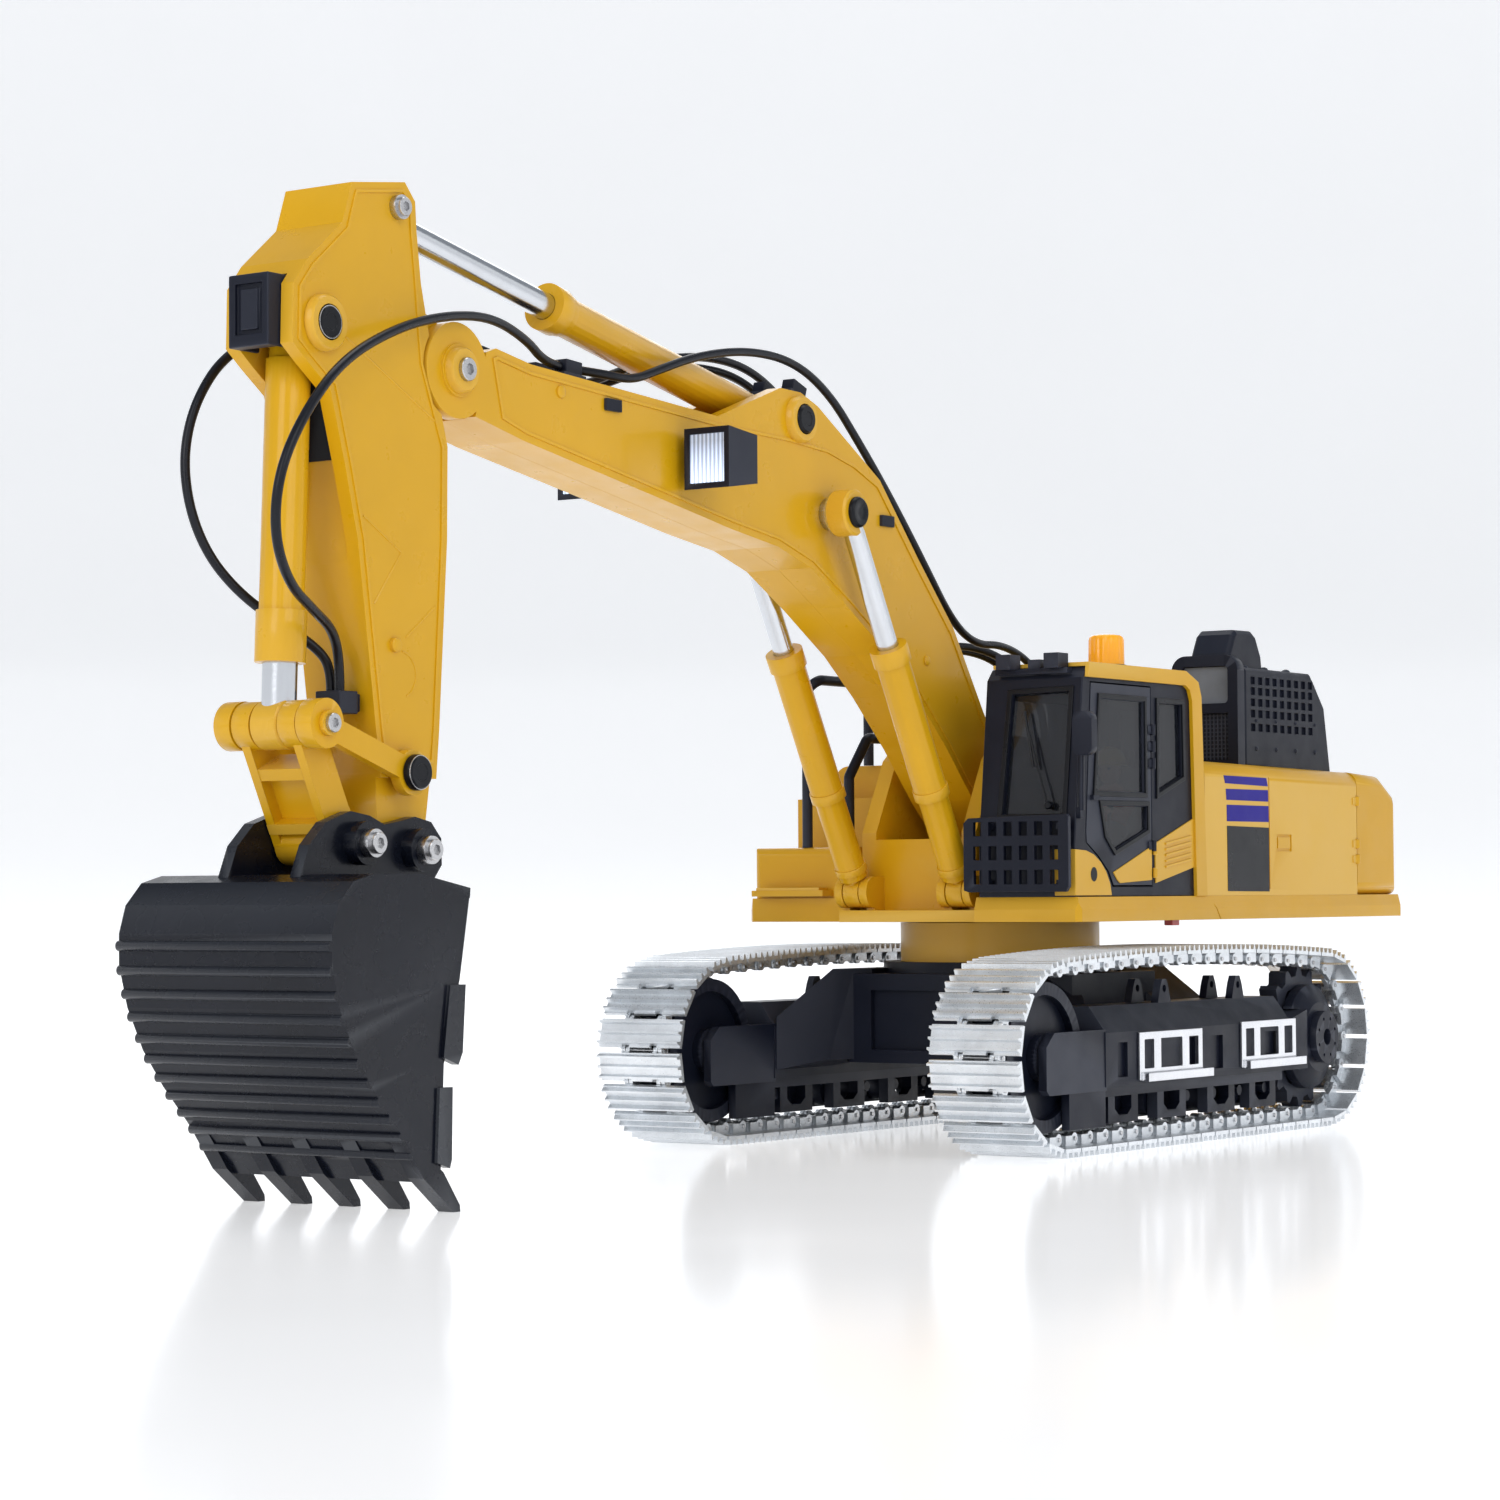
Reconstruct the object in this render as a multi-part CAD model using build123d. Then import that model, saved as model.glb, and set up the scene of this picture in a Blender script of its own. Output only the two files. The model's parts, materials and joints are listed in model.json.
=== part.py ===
from build123d import *
import os
from math import atan2, cos, degrees, hypot, pi, radians, sin, asin, sqrt

# Tracked excavator model, 1:24, in millimetres.
# X points forward along the boom, Y to the left (cab side), Z up from the ground.
# The slew axis is at X = Y = 0 while modelling; write() moves everything so that
# the origin is at the middle of the whole model's footprint, on the ground.

# ---------------------------------------------------------------- driving sizes
RUN = 0.05            # radial running clearance of a pin in a moving part
SEAT = 0.03           # radial clearance of a pin in its own body
SIDE_GAP = 0.4        # side gap between parts that turn on one pin

# tracks
TRACK_Y = 57.1
WHEEL_X = 85.3
WHEEL_Z = 28.0
PITCH_RADIUS = 23.5
TOP_RUN_RADIUS = 1500.0
SHOE_COUNT = 54
SHOE_WIDTH = 29.2
AXLE_RADIUS = 2.5

# house
DECK_BOTTOM = 65.8
DECK_LIP = 69.3
DECK_TOP = 72.0
SLEW_RADIUS = 30.7
HOUSE_HALF = 62.0
TAIL_X = -163.0
BODY_TOP = 114.4
BODY_FRONT = -19.0
BODY_REAR = -158.5
BODY_SPLIT = -126.6
CAB_FRONT = 61.0
CAB_REAR = -18.5
CAB_LEFT = 61.0
CAB_RIGHT = 29.0
CAB_TOP = 139.8
DOOR_SEAM = 14.2
WALL = 2.0

# pivots (X, Z) in the plane of the boom
BOOM_FOOT = (8.0, 92.0)
BOOM_TIP = (280.0, 204.3)
BUCKET_PIN = (299.5, 85.5)
ROCKER_PIN = (301.0, 104.2)
LINK_PIN = (334.2, 115.0)
BUCKET_LINK_PIN = (320.5, 87.0)
BOOM_CYL_FOOT = (53.0, 74.7)
BOOM_CYL_EYE = (113.0, 182.0)
STICK_CYL_FOOT = (127.3, 207.6)
STICK_CYL_EYE = (302.6, 241.5)
BUCKET_CYL_FOOT = (330.0, 210.0)
BOOM_CYL_Y = 18.0

# arm
BOOM_HALF = 11.0
STICK_HALF = 10.5
TONGUE_HALF = 6.8
EAR_RADIUS = 12.0
BUCKET_HALF = 33.0
TOOTH_PITCH = 15.3
TOOTH_COUNT = 5

# hoses
HOSE_RADIUS = 1.2
PLUG_TOP = 123.5
GLAND_TOP = 117.4

SAVED = []            # (node, shape) pairs, written at the end


# ---------------------------------------------------------------- shape helpers
def box(x0, x1, y0, y1, z0, z1):
    """Block between two corners."""
    centre = ((x0 + x1) / 2, (y0 + y1) / 2, (z0 + z1) / 2)
    return Pos(*centre) * Box(x1 - x0, y1 - y0, z1 - z0)


def outline_xz(points, radius=0):
    """Closed outline in the XZ plane, corners rounded when a radius is given."""
    corners = [(x, 0, z) for x, z in points]
    if radius:
        return Wire(FilletPolyline(*corners, radius=radius, close=True).edges())
    return Wire(Polyline(*corners, close=True).edges())


def slab_xz(points, y0, y1, radius=0):
    """Plate with an XZ outline, between two Y values."""
    face = Face(outline_xz(points, radius))
    return Pos(0, y0, 0) * Solid.extrude(face, Vector(0, y1 - y0, 0))


def slab_xy(points, z0, z1, radius=0):
    """Plate with an XY outline, between two Z values."""
    corners = [(x, y, 0) for x, y in points]
    if radius:
        wire = Wire(FilletPolyline(*corners, radius=radius, close=True).edges())
    else:
        wire = Wire(Polyline(*corners, close=True).edges())
    return Pos(0, 0, z0) * Solid.extrude(Face(wire), Vector(0, 0, z1 - z0))


def slab_yz(points, x0, x1, radius=0):
    """Plate with a YZ outline, between two X values."""
    corners = [(0, y, z) for y, z in points]
    if radius:
        wire = Wire(FilletPolyline(*corners, radius=radius, close=True).edges())
    else:
        wire = Wire(Polyline(*corners, close=True).edges())
    return Pos(x0, 0, 0) * Solid.extrude(Face(wire), Vector(x1 - x0, 0, 0))


def rod_y(centre, radius, y0, y1):
    """Cylinder along Y at an (X, Z) centre."""
    x, z = centre
    return Pos(x, (y0 + y1) / 2, z) * Rot(90, 0, 0) * Cylinder(radius, abs(y1 - y0))


def rod_between(p, q, radius):
    """Cylinder from point p to point q."""
    start = Vector(*p)
    along = Vector(*q) - start
    return Solid.make_cylinder(radius, along.length, Plane(start, z_dir=along))


def disc_z(x, y, radius, z0, z1):
    """Cylinder along Z."""
    return Pos(x, y, (z0 + z1) / 2) * Cylinder(radius, z1 - z0)


def fused(parts):
    """One solid from touching or overlapping pieces."""
    parts = list(parts)
    return parts[0].fuse(*parts[1:]) if len(parts) > 1 else parts[0]


def bored(shape, holes, y0=-200, y1=200):
    """Shape with holes along Y; holes are (centre, radius)."""
    for centre, radius in holes:
        shape = shape - rod_y(centre, radius, y0, y1)
    return shape


def group(parts):
    """Separate solids kept side by side in one node."""
    solids = []
    for part in parts:
        solids += list(part.solids())
    return Compound(children=solids)


def flipped(shape):
    """The same piece on the other side of the centre plane."""
    return shape.mirror(Plane.XZ)


def both(shape):
    """Left and right copies."""
    return [shape, flipped(shape)]


def save(name, shape):
    SAVED.append((name, shape))


def along(p, q, distance):
    """(X, Z) point on the line from p towards q."""
    length = hypot(q[0] - p[0], q[1] - p[1])
    share = distance / length
    return (p[0] + (q[0] - p[0]) * share, p[1] + (q[1] - p[1]) * share)


def tube_piece(p, q, start, end, radius, y=0.0):
    """Cylinder on the line p-q of an XZ linkage, between two distances from p."""
    a = along(p, q, start)
    b = along(p, q, end)
    return rod_between((a[0], y, a[1]), (b[0], y, b[1]), radius)


# ---------------------------------------------------------------- tracks
def track_path():
    """Pitch line of a track: flat bottom, two wheels and a slightly crowned top."""
    reach = TOP_RUN_RADIUS - PITCH_RADIUS
    lean = asin(WHEEL_X / reach)
    wrap = pi - lean
    drop = WHEEL_Z - sqrt(reach ** 2 - WHEEL_X ** 2)
    return lean, wrap, drop


def track_point(distance):
    """Point and travel angle at a distance along the pitch line."""
    lean, wrap, drop = track_path()
    bottom = 2 * WHEEL_X
    wheel = wrap * PITCH_RADIUS
    top = 2 * lean * TOP_RUN_RADIUS
    if distance < bottom:
        return distance - WHEEL_X, WHEEL_Z - PITCH_RADIUS, 0.0
    distance -= bottom
    if distance < wheel:
        turn = distance / PITCH_RADIUS
        return (WHEEL_X + PITCH_RADIUS * sin(turn), WHEEL_Z - PITCH_RADIUS * cos(turn), turn)
    distance -= wheel
    if distance < top:
        turn = wrap + distance / TOP_RUN_RADIUS
        return (TOP_RUN_RADIUS * sin(turn), drop - TOP_RUN_RADIUS * cos(turn), turn)
    distance -= top
    turn = wrap + 2 * lean + distance / PITCH_RADIUS
    return (-WHEEL_X + PITCH_RADIUS * sin(turn), WHEEL_Z - PITCH_RADIUS * cos(turn), turn)


def track_length():
    lean, wrap, drop = track_path()
    return 2 * WHEEL_X + 2 * wrap * PITCH_RADIUS + 2 * lean * TOP_RUN_RADIUS


def shoe(pitch):
    """One shoe on its pitch line: ribbed plate below, four link lugs above."""
    half = pitch / 2
    edge = half - 0.27
    plate_top = -1.9
    plate_low = -3.0
    tip = PITCH_RADIUS - WHEEL_Z
    ribs = (-2.9, 0.1, 3.2)
    points = [(-edge, plate_top), (edge, plate_top), (edge, plate_low)]
    for centre in reversed(ribs):
        points += [(centre + 0.62, plate_low), (centre + 0.3, tip),
                   (centre - 0.3, tip), (centre - 0.62, plate_low)]
    points.append((-edge, plate_low))
    body = slab_xz(points, -SHOE_WIDTH / 2, SHOE_WIDTH / 2)
    eye = 1.7
    for side in (-1, 1):
        front = (side * 5.0 - 0.7, side * 5.0 + 0.7)
        back = (side * 6.6 - 0.7, side * 6.6 + 0.7)
        body = body + box(-0.6, half, front[0], front[1], plate_top - 0.3, 0.9)
        body = body + rod_y((half, 0), eye, front[0], front[1])
        body = body + box(-half, 0.6, back[0], back[1], plate_top - 0.3, 0.9)
        body = body + rod_y((-half, 0), eye, back[0], back[1])
        notch = (side * 5.0 - 1.3, side * 5.0 + 1.3)
        body = body - box(-half, -edge + 0.75, notch[0], notch[1], tip, plate_top + 0.01)
    return body


def tracks():
    length = track_length()
    pitch = length / SHOE_COUNT
    pins = [track_point(i * pitch) for i in range(SHOE_COUNT)]
    chord = 2 * PITCH_RADIUS * sin(pitch / 2 / PITCH_RADIUS)
    pattern = shoe(chord)
    pin = rod_y((0, 0), 0.62, -7.7, 7.7)
    shoes = []
    pin_set = []
    for i in range(SHOE_COUNT):
        x0, z0, _ = pins[i]
        x1, z1, _ = pins[(i + 1) % SHOE_COUNT]
        tilt = -degrees(atan2(z1 - z0, x1 - x0))
        place = Location(((x0 + x1) / 2, TRACK_Y, (z0 + z1) / 2), (0, tilt, 0))
        shoes.append(pattern.moved(place))
        pin_set.append(pin.moved(Location((x0, TRACK_Y, z0))))
    save("track_shoes_left", group(shoes))
    save("track_shoes_right", group([flipped(s) for s in shoes]))
    save("track_pins", group(pin_set + [flipped(p) for p in pin_set]))


def wheels():
    """Sprockets at the rear and idlers at the front, both free to turn on their axles."""
    bore = AXLE_RADIUS + RUN
    rear = (-WHEEL_X, WHEEL_Z)
    front = (WHEEL_X, WHEEL_Z)
    sprocket = rod_y(rear, 19.4, TRACK_Y - 3, TRACK_Y + 3)
    sprocket = sprocket + rod_y(rear, 7.5, TRACK_Y - 3.4, TRACK_Y + 3.4)
    for i in range(16):
        a = 2 * pi * i / 16
        tooth = slab_xz([(18.9, -2.6), (22.3, -0.9), (22.3, 0.9), (18.9, 2.6)], -3, 3)
        place = Location((rear[0], TRACK_Y, rear[1]), (0, degrees(a), 0))
        sprocket = sprocket + tooth.moved(place)
    for i in range(6):
        a = 2 * pi * i / 6
        hole = (rear[0] + 13.2 * cos(a), rear[1] + 13.2 * sin(a))
        sprocket = sprocket - rod_y(hole, 3.4, TRACK_Y - 4, TRACK_Y + 4)
    sprocket = sprocket - rod_y(rear, bore, TRACK_Y - 9, TRACK_Y + 9)

    idler = rod_y(front, 21.2, TRACK_Y - 7.4, TRACK_Y + 7.4)
    for side in (-1, 1):
        outer = TRACK_Y + side * 7.4
        inner = TRACK_Y + side * 5.0
        ring = rod_y(front, 17.6, min(inner, outer), max(inner, outer))
        hub = rod_y(front, 6.5, min(inner, outer), max(inner, outer))
        idler = idler - (ring - hub)
    idler = idler + rod_y(front, 22.2, TRACK_Y - 3.4, TRACK_Y + 3.4)
    idler = idler - rod_y(front, bore, TRACK_Y - 9, TRACK_Y + 9)

    axle_rear = rod_y(rear, AXLE_RADIUS, 50.0, 64.0)
    axle_front = rod_y(front, AXLE_RADIUS, 46.4, 67.6)
    save("sprocket_left", sprocket)
    save("sprocket_right", flipped(sprocket))
    save("idler_left", idler)
    save("idler_right", flipped(idler))
    save("wheel_axles", group(both(axle_rear) + both(axle_front)))


FRAME_IN = 45.9
FRAME_OUT = 68.3


def roller_guards():
    """Hanging guard plates with windows, and the half-hidden road rollers behind them."""
    parts = [box(-60, 57, FRAME_IN + 2, FRAME_OUT - 2, 15.5, 19.5)]
    for centre in (38.0, 8.0, -24.0, -52.0):
        for y0, y1 in ((60.0, 63.4), (50.8, 54.2)):
            plate = box(centre - 9, centre + 9, y0, y1, 7.4, 16)
            window = slab_xz([(centre - 5, 16), (centre - 5, 11.5), (centre - 2.5, 9.6),
                              (centre + 2.5, 9.6), (centre + 5, 11.5), (centre + 5, 16)], y0 - 1, y1 + 1)
            parts.append(plate - window)
    for i in range(7):
        centre = (48.0 - 17.2 * i, 13.2)
        parts.append(rod_y(centre, 5.2, 54.6, 59.6))
        parts.append(rod_y(centre, 1.6, 51.5, 62.5))
    parts.append(box(56, 77, 65.0, FRAME_OUT - 0.8, 7.2, 18.2))
    parts.append(box(56, 77, FRAME_IN + 0.8, 49.2, 7.2, 18.2))
    return parts


def track_frame():
    """Left track frame: beam, idler fork, sprocket cheeks, guards and carrier lugs."""
    beam = slab_yz([(FRAME_IN, 18.5), (FRAME_OUT, 18.5), (FRAME_OUT, 34), (62.8, 41.5),
                    (51.4, 41.5), (FRAME_IN, 34)], -61.5, 57)
    parts = [beam]
    cheek = [(56, 17.5), (89, 17.5), (90.5, 19), (90.5, 31), (86, 35), (56, 35)]
    parts.append(slab_xz(cheek, 65.4, FRAME_OUT - 0.3))
    parts.append(slab_xz(cheek, FRAME_IN + 0.3, 48.8))
    rear = [(-61, 18.5), (-66, 16), (-86, 16), (-91, 22), (-91, 34), (-86, 40), (-66, 40), (-61, 34)]
    parts.append(slab_xz(rear, FRAME_IN, 52.6))
    parts.append(slab_xz([(-61, 18.5), (-74, 18.5), (-74, 37), (-61, 34)], 61.2, FRAME_OUT))
    parts += roller_guards()
    for x in (11.0, -37.0):
        for y0 in (51.5, 60.5):
            lug = slab_xz([(x - 4.5, 40), (x - 2.6, 46), (x - 1.3, 48.4), (x + 1.3, 48.4),
                           (x + 2.6, 46), (x + 4.5, 40)], y0, y0 + 2.4)
            parts.append(lug - rod_y((x, 45.6), 1.1, y0 - 1, y0 + 4))
    frame = fused(parts)
    for x0, x1 in ((-56, -44), (-16, -8), (2, 12), (44, 50)):
        frame = frame - box(x0, x1, FRAME_OUT - 1.2, FRAME_OUT + 1, 21, 31)
    seat = AXLE_RADIUS + SEAT
    frame = bored(frame, [((-WHEEL_X, WHEEL_Z), seat), ((WHEEL_X, WHEEL_Z), seat)], 46.3, 67.7)
    return frame


def final_drive():
    """Domed reduction cover outside the sprocket, with its bolted hub."""
    centre = (-WHEEL_X, WHEEL_Z)
    dome = rod_y(centre, 16.5, 61.0, 64.0)
    cone = Solid.make_cone(16.5, 11.0, 3.2, Plane((centre[0], 64.0, centre[1]), z_dir=(0, 1, 0)))
    hub = rod_y(centre, 8.2, 67.0, 69.8)
    cover = fused([dome, cone, hub])
    cover = cover - rod_y(centre, 2.6, 66.0, 71.0) - rod_y(centre, AXLE_RADIUS + SEAT, 60.0, 64.2)
    for i in range(8):
        a = 2 * pi * (i + 0.5) / 8
        spot = (centre[0] + 6.1 * cos(a), centre[1] + 6.1 * sin(a))
        cover = cover - rod_y(spot, 0.55, 69.2, 71.0)
    return cover - box(-74.2, -60, 60, 69, 18.4, 37.1)


def step_plate(x0, x1, z0):
    """Pressed access step: a windowed plate with a folded tread at the bottom."""
    z1 = z0 + 14.0
    y0 = FRAME_OUT + 0.02
    plate = box(x0, x1, y0, y0 + 1.0, z0, z1)
    span = x1 - x0
    for a, b in ((0.07, 0.22), (0.33, 0.67), (0.78, 0.93)):
        plate = plate - box(x0 + a * span, x0 + b * span, y0 - 1, y0 + 2, z0 + 3.4, z1 - 2.2)
    tread = box(x0 - 3.0, x1 - 1.5, y0, y0 + 3.2, z0 - 0.4, z0 + 2.2)
    return fused([plate, tread])


def undercarriage():
    body = slab_xy([(-40, -30), (-26, -40), (26, -40), (40, -30), (40, 30), (26, 40), (-26, 40),
                    (-40, 30)], 23, 50)
    parts = [body, disc_z(0, 0, 36.0, 49.0, 53.4)]
    for sx in (-1, 1):
        for sy in (-1, 1):
            plan = [(sx * 6, sy * 26), (sx * 36, sy * 24), (sx * 56, sy * FRAME_IN), (sx * 26, sy * FRAME_IN)]
            wedge = slab_yz([(sy * 20, 51.5), (sy * 33, 51.5), (sy * FRAME_IN, 37), (sy * FRAME_IN, 21),
                             (sy * 34, 24), (sy * 20, 24)], -60, 60)
            parts.append(slab_xy(plan, 20, 52) & wedge)
    carbody = fused(parts)
    for sx in (-1, 1):
        carbody = carbody - box(sx * 42 - 4, sx * 42 + 4, -22, 22, 27, 45)
    save("carbody", carbody)
    collar = disc_z(0, 0, SLEW_RADIUS, 53.4, 65.3) - disc_z(0, 0, 26.0, 53.3, 65.4)
    save("slew_collar", collar)
    frame = track_frame()
    save("track_frame_left", frame)
    save("track_frame_right", flipped(frame))
    save("final_drives", group(both(final_drive())))
    steps = [step_plate(-1.0, 38.2, 19.6), step_plate(-64.0, -27.0, 20.6)]
    save("step_plates", group(steps + [flipped(s) for s in steps]))


# ---------------------------------------------------------------- house
def deck():
    """Floor of the house: low front strip, raised sides and tail, boss into the slew collar."""
    side = HOUSE_HALF + 1
    top = DECK_TOP + 1.0
    plan = [(TAIL_X, -55), (TAIL_X + 6, -side), (44, -side), (45.5, -side + 1.5), (45.5, -24), (57.5, -22),
            (57.5, 27.8), (62, 27.8), (62, side - 1.5), (60.5, side), (TAIL_X + 6, side), (TAIL_X, 55)]
    plate = slab_xy(plan, DECK_BOTTOM, top)
    rise = 3.6
    bevel = [(side + 1, top - rise), (side, top - rise), (side - 1.4, top + 0.1), (side + 1, top + 0.1)]
    for y_side in (-1, 1):
        plate = plate - slab_yz([(y_side * y, z) for y, z in bevel], TAIL_X - 1, 64)
    plate = plate - slab_xz([(63, top - rise), (62, top - rise), (60.6, top + 0.1), (63, top + 0.1)], 20, 64)
    tail = [(TAIL_X - 1, top - rise), (TAIL_X, top - rise), (TAIL_X + 1.4, top + 0.1), (TAIL_X - 1, top + 0.1)]
    plate = plate - slab_xz(tail, -64, 64)
    joint = slab_xz([(-19.2, 74), (-19.7, 74), (-26.9, 65), (-26.4, 65)], side - 0.5, side + 1)
    plate = plate - joint - flipped(joint)
    plate = plate - box(-100, 58, -26, 27.8, DECK_LIP, top + 1)
    plate = plate + disc_z(0, 0, 25.5, 58.0, DECK_BOTTOM + 0.5)
    switch_slot = box(-2.5 - 4.2, -2.5 + 4.2, 55.8, 60.2, 60, 67.6)
    save("deck", plate - switch_slot)


def boom_bracket():
    """A-frame that carries the boom foot, and the clevises of the two boom cylinders."""
    front = 47.4
    cheek = slab_xz([(-14, DECK_LIP), (front, DECK_LIP), (front, 92.5), (35.5, 114.5), (26, 121.5),
                     (8, 121.5), (-14, 104)], 15.0, 20.0)
    parts = both(cheek)
    parts.append(box(41.5, front, -15.5, 15.5, DECK_LIP, 90.5))
    parts.append(box(-14, 43, -15.5, 15.5, DECK_LIP, 76))
    foot = BOOM_CYL_FOOT
    for side in (-1, 1):
        for near, far in ((12.2, 15.0), (21.0, 23.6)):
            y0, y1 = sorted((side * near, side * far))
            parts.append(rod_y(foot, 4.7, y0, y1))
            parts.append(box(45, foot[0], y0, y1, DECK_LIP, foot[1] + 4.7))
        y0, y1 = sorted((side * 19.5, side * 23.6))
        parts.append(box(43, front, y0, y1, DECK_LIP, 81))
    parts.append(rod_y(BOOM_FOOT, 3.0, -15.5, 15.5))
    bracket = fused(parts)
    for side in (-1, 1):
        y0, y1 = sorted((side * 14.8, side * 21.2))
        bracket = bracket + rod_y(foot, 2.0, y0, y1)
    save("boom_bracket", bracket)


def body_profile(inset=0.0):
    """Side outline of the engine body, optionally shrunk by a wall."""
    top = BODY_TOP - inset
    return [(BODY_FRONT - inset, DECK_TOP), (BODY_FRONT - inset, top), (BODY_SPLIT, top - 1.2),
            (BODY_SPLIT, DECK_TOP)]


def engine_body():
    """Yellow shell behind the cab, open below, with its engraved door seams."""
    outer = slab_xz(body_profile(), -HOUSE_HALF + 0.5, HOUSE_HALF - 0.5)
    rims = [e for e in outer.edges() if e.center().Z > BODY_TOP - 2 and abs(e.center().Y) > HOUSE_HALF - 1]
    outer = fillet(rims, 5.0)
    inner = slab_xz(body_profile(WALL), -HOUSE_HALF + 0.5 + WALL, HOUSE_HALF - 0.5 - WALL)
    shell = outer - (inner - box(BODY_SPLIT - 1.5, BODY_SPLIT + 1.5, -62, 62, 70, 116))
    shell = shell - box(BODY_SPLIT - 1, 0, -HOUSE_HALF - 1, HOUSE_HALF + 1, DECK_TOP - 1, DECK_TOP + 1.0)
    seam = box(-63.0, -62.4, HOUSE_HALF - 1.0, HOUSE_HALF, 75, 110)
    latch = box(-78.3, -67.9, HOUSE_HALF - 0.9, HOUSE_HALF, 86.9, 92.2)
    latch = latch - box(-77.4, -68.8, HOUSE_HALF - 1.2, HOUSE_HALF + 1, 87.8, 91.3)
    shell = shell - seam - flipped(seam) - latch
    shell = shell - box(-64, -42, -60, 10, 113, 116) + box(-64, -42, -60, 10, 110, 113.6)
    save("engine_body", shell)

    front = BODY_SPLIT - 0.4
    rear = slab_xz([(front, DECK_TOP + 1.0), (front, BODY_TOP - 1.2), (-146.5, 112.4), (-157.3, 106.5),
                    (BODY_REAR, 103.5), (BODY_REAR, DECK_TOP + 1.0)], -HOUSE_HALF + 0.5, HOUSE_HALF - 0.5)
    corners = [e for e in rear.edges() if abs(e.center().Y) > HOUSE_HALF - 1 and e.center().X < front - 1]
    rear = fillet(corners, 4.0)
    hollow = box(-148, front - 2, -52, 52, DECK_TOP, 104)
    save("counterweight", rear - hollow)


def right_boxes():
    """Step box at the right front and the taller tank cover behind it."""
    step = box(20, 44.5, -HOUSE_HALF, -25.5, DECK_TOP + 1.0, 88.5)
    edges = [e for e in step.edges() if e.center().X > 44 and e.center().Z > 88]
    edges += [e for e in step.edges() if e.center().X > 44 and e.center().Y < -61]
    step = fillet(edges, 3.0)
    tank = box(-18.6, 19.9, -HOUSE_HALF + 0.5, -25.5, DECK_TOP + 1.0, 104)
    hood = box(-18.6, 10, -54, -25.5, 103.5, 114.4)
    edges = [e for e in hood.edges() if e.center().Y < -53 and e.center().Z > 114]
    hood = fillet(edges, 5.0)
    tank = tank + hood
    step = step - box(22, 42, -59, -28, DECK_TOP, 86.0)
    tank = tank - box(-16.5, 17.8, -59, -28, DECK_TOP, 101.5)
    tread = box(44.4, 50.5, -58.5, -32.5, 73.6, 75.4)
    ribs = [box(45.5, 50.2, -57 + 0.0 * i, -34, 75.3, 75.3 + 0.9) for i in range(1)]
    save("right_boxes", fused([step + tread] + ribs + [tank]))


def upper_fittings():
    """Perforated engine hood, air-intake frame, exhaust cap and handrails."""
    side = [(-69.5, BODY_TOP + 0.1), (-69.5, 145.6), (-117.4, 145.6), (-126.8, 136), (-131.4, 113.5)]
    hood = slab_xz(side, -22, 50)
    rims = [e for e in hood.edges() if e.center().Z > 126 and abs(e.center().Y - 50) < 0.1]
    hood = chamfer(rims, 0.9)
    for z in (141.6, 138.2, 134.6, 131.0, 126.6):
        for i in range(9):
            x = -75.2 - i * 5.2
            hood = hood - box(x - 1.5, x + 1.5, 49.2, 51, z - 1.2, z + 1.2)
    for row in range(5):
        for i in range(8):
            x = -75.2 - i * 5.2
            y = 40 - row * 12.5
            hood = hood - box(x - 1.5, x + 1.5, y - 4.2, y + 4.2, 144.6, 146)
    hollow = slab_xz([(-72, BODY_TOP - 3), (-72, 142.7), (-116.2, 142.7), (-124.4, 135), (-128.6, BODY_TOP - 3)],
                     -19.5, 47.5)
    save("hood_grille", hood - hollow)
    frame = slab_yz([(26.5, BODY_TOP), (26.5, 149.5), (50, 149.5), (50, BODY_TOP)], -69.3, -64.5)
    edges = [e for e in frame.edges() if e.center().Z > 140 and abs(e.center().X + 66.9) < 0.5]
    edges = [e for e in edges if abs(e.center().Z - 149.5) < 0.1]
    frame = fillet(edges, 5.0)
    frame = frame - slab_yz([(30, 134), (30, 146), (46.5, 146), (46.5, 134)], -66.5, -60, radius=1.5)
    frame = frame - slab_yz([(30, BODY_TOP + 1.5), (30, 131), (46.5, 131), (46.5, BODY_TOP + 1.5)], -66.5, -60)
    save("intake_frame", frame)
    cap = slab_xz([(-70.0, 145.62), (-70.6, 150.5), (-74.0, 156.6), (-76.4, 158.2), (-87.6, 158.4),
                   (-90.6, 156.8), (-94.4, 150.5), (-95.2, 145.62)], 30, 44)
    cap = chamfer([e for e in cap.edges() if abs(abs(e.center().Y - 37) - 7) < 0.1 and e.center().Z > 146], 1.2)
    save("exhaust_cap", cap)
    rail = 1.6
    near = [(41, -44, 88.5), (41, -44, 137), (41, -40, 140), (16, -40, 140), (12, -40, 136), (12, -40, 114.4)]
    paths = [FilletPolyline(*near, radius=2.4)]
    low = [(39, -30, 88.5), (39, -30, 110), (33, -27, 122), (14, -27, 122), (11, -30, 114.4)]
    paths.append(FilletPolyline(*low, radius=2.4))
    rails = []
    for path in paths:
        start = Plane(path @ 0, z_dir=path % 0)
        rails.append(sweep(start * Circle(rail), path=path))
    save("handrails", group(rails))
    fins = [box(24, 33, 21.5, 27.5, 74, 97)]
    for i in range(5):
        z = 77 + i * 4.1
        fins.append(box(32.5, 39.5, 20.8, 27.6, z, z + 2.2))
    gland = box(-30.5, -19.5, -4.4, 9.4, BODY_TOP + 0.02, GLAND_TOP)
    save("valve_block", group([fused(fins), gland]))


# ---------------------------------------------------------------- cab
DOOR_OUTLINE = [(DOOR_SEAM, 135.4), (50.9, 135.4), (54.4, 92.0), (54.2, 88.6), (47.2, 84.6), (41.4, 80.2),
                (38.6, 76.0), (DOOR_SEAM, 76.0)]


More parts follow.
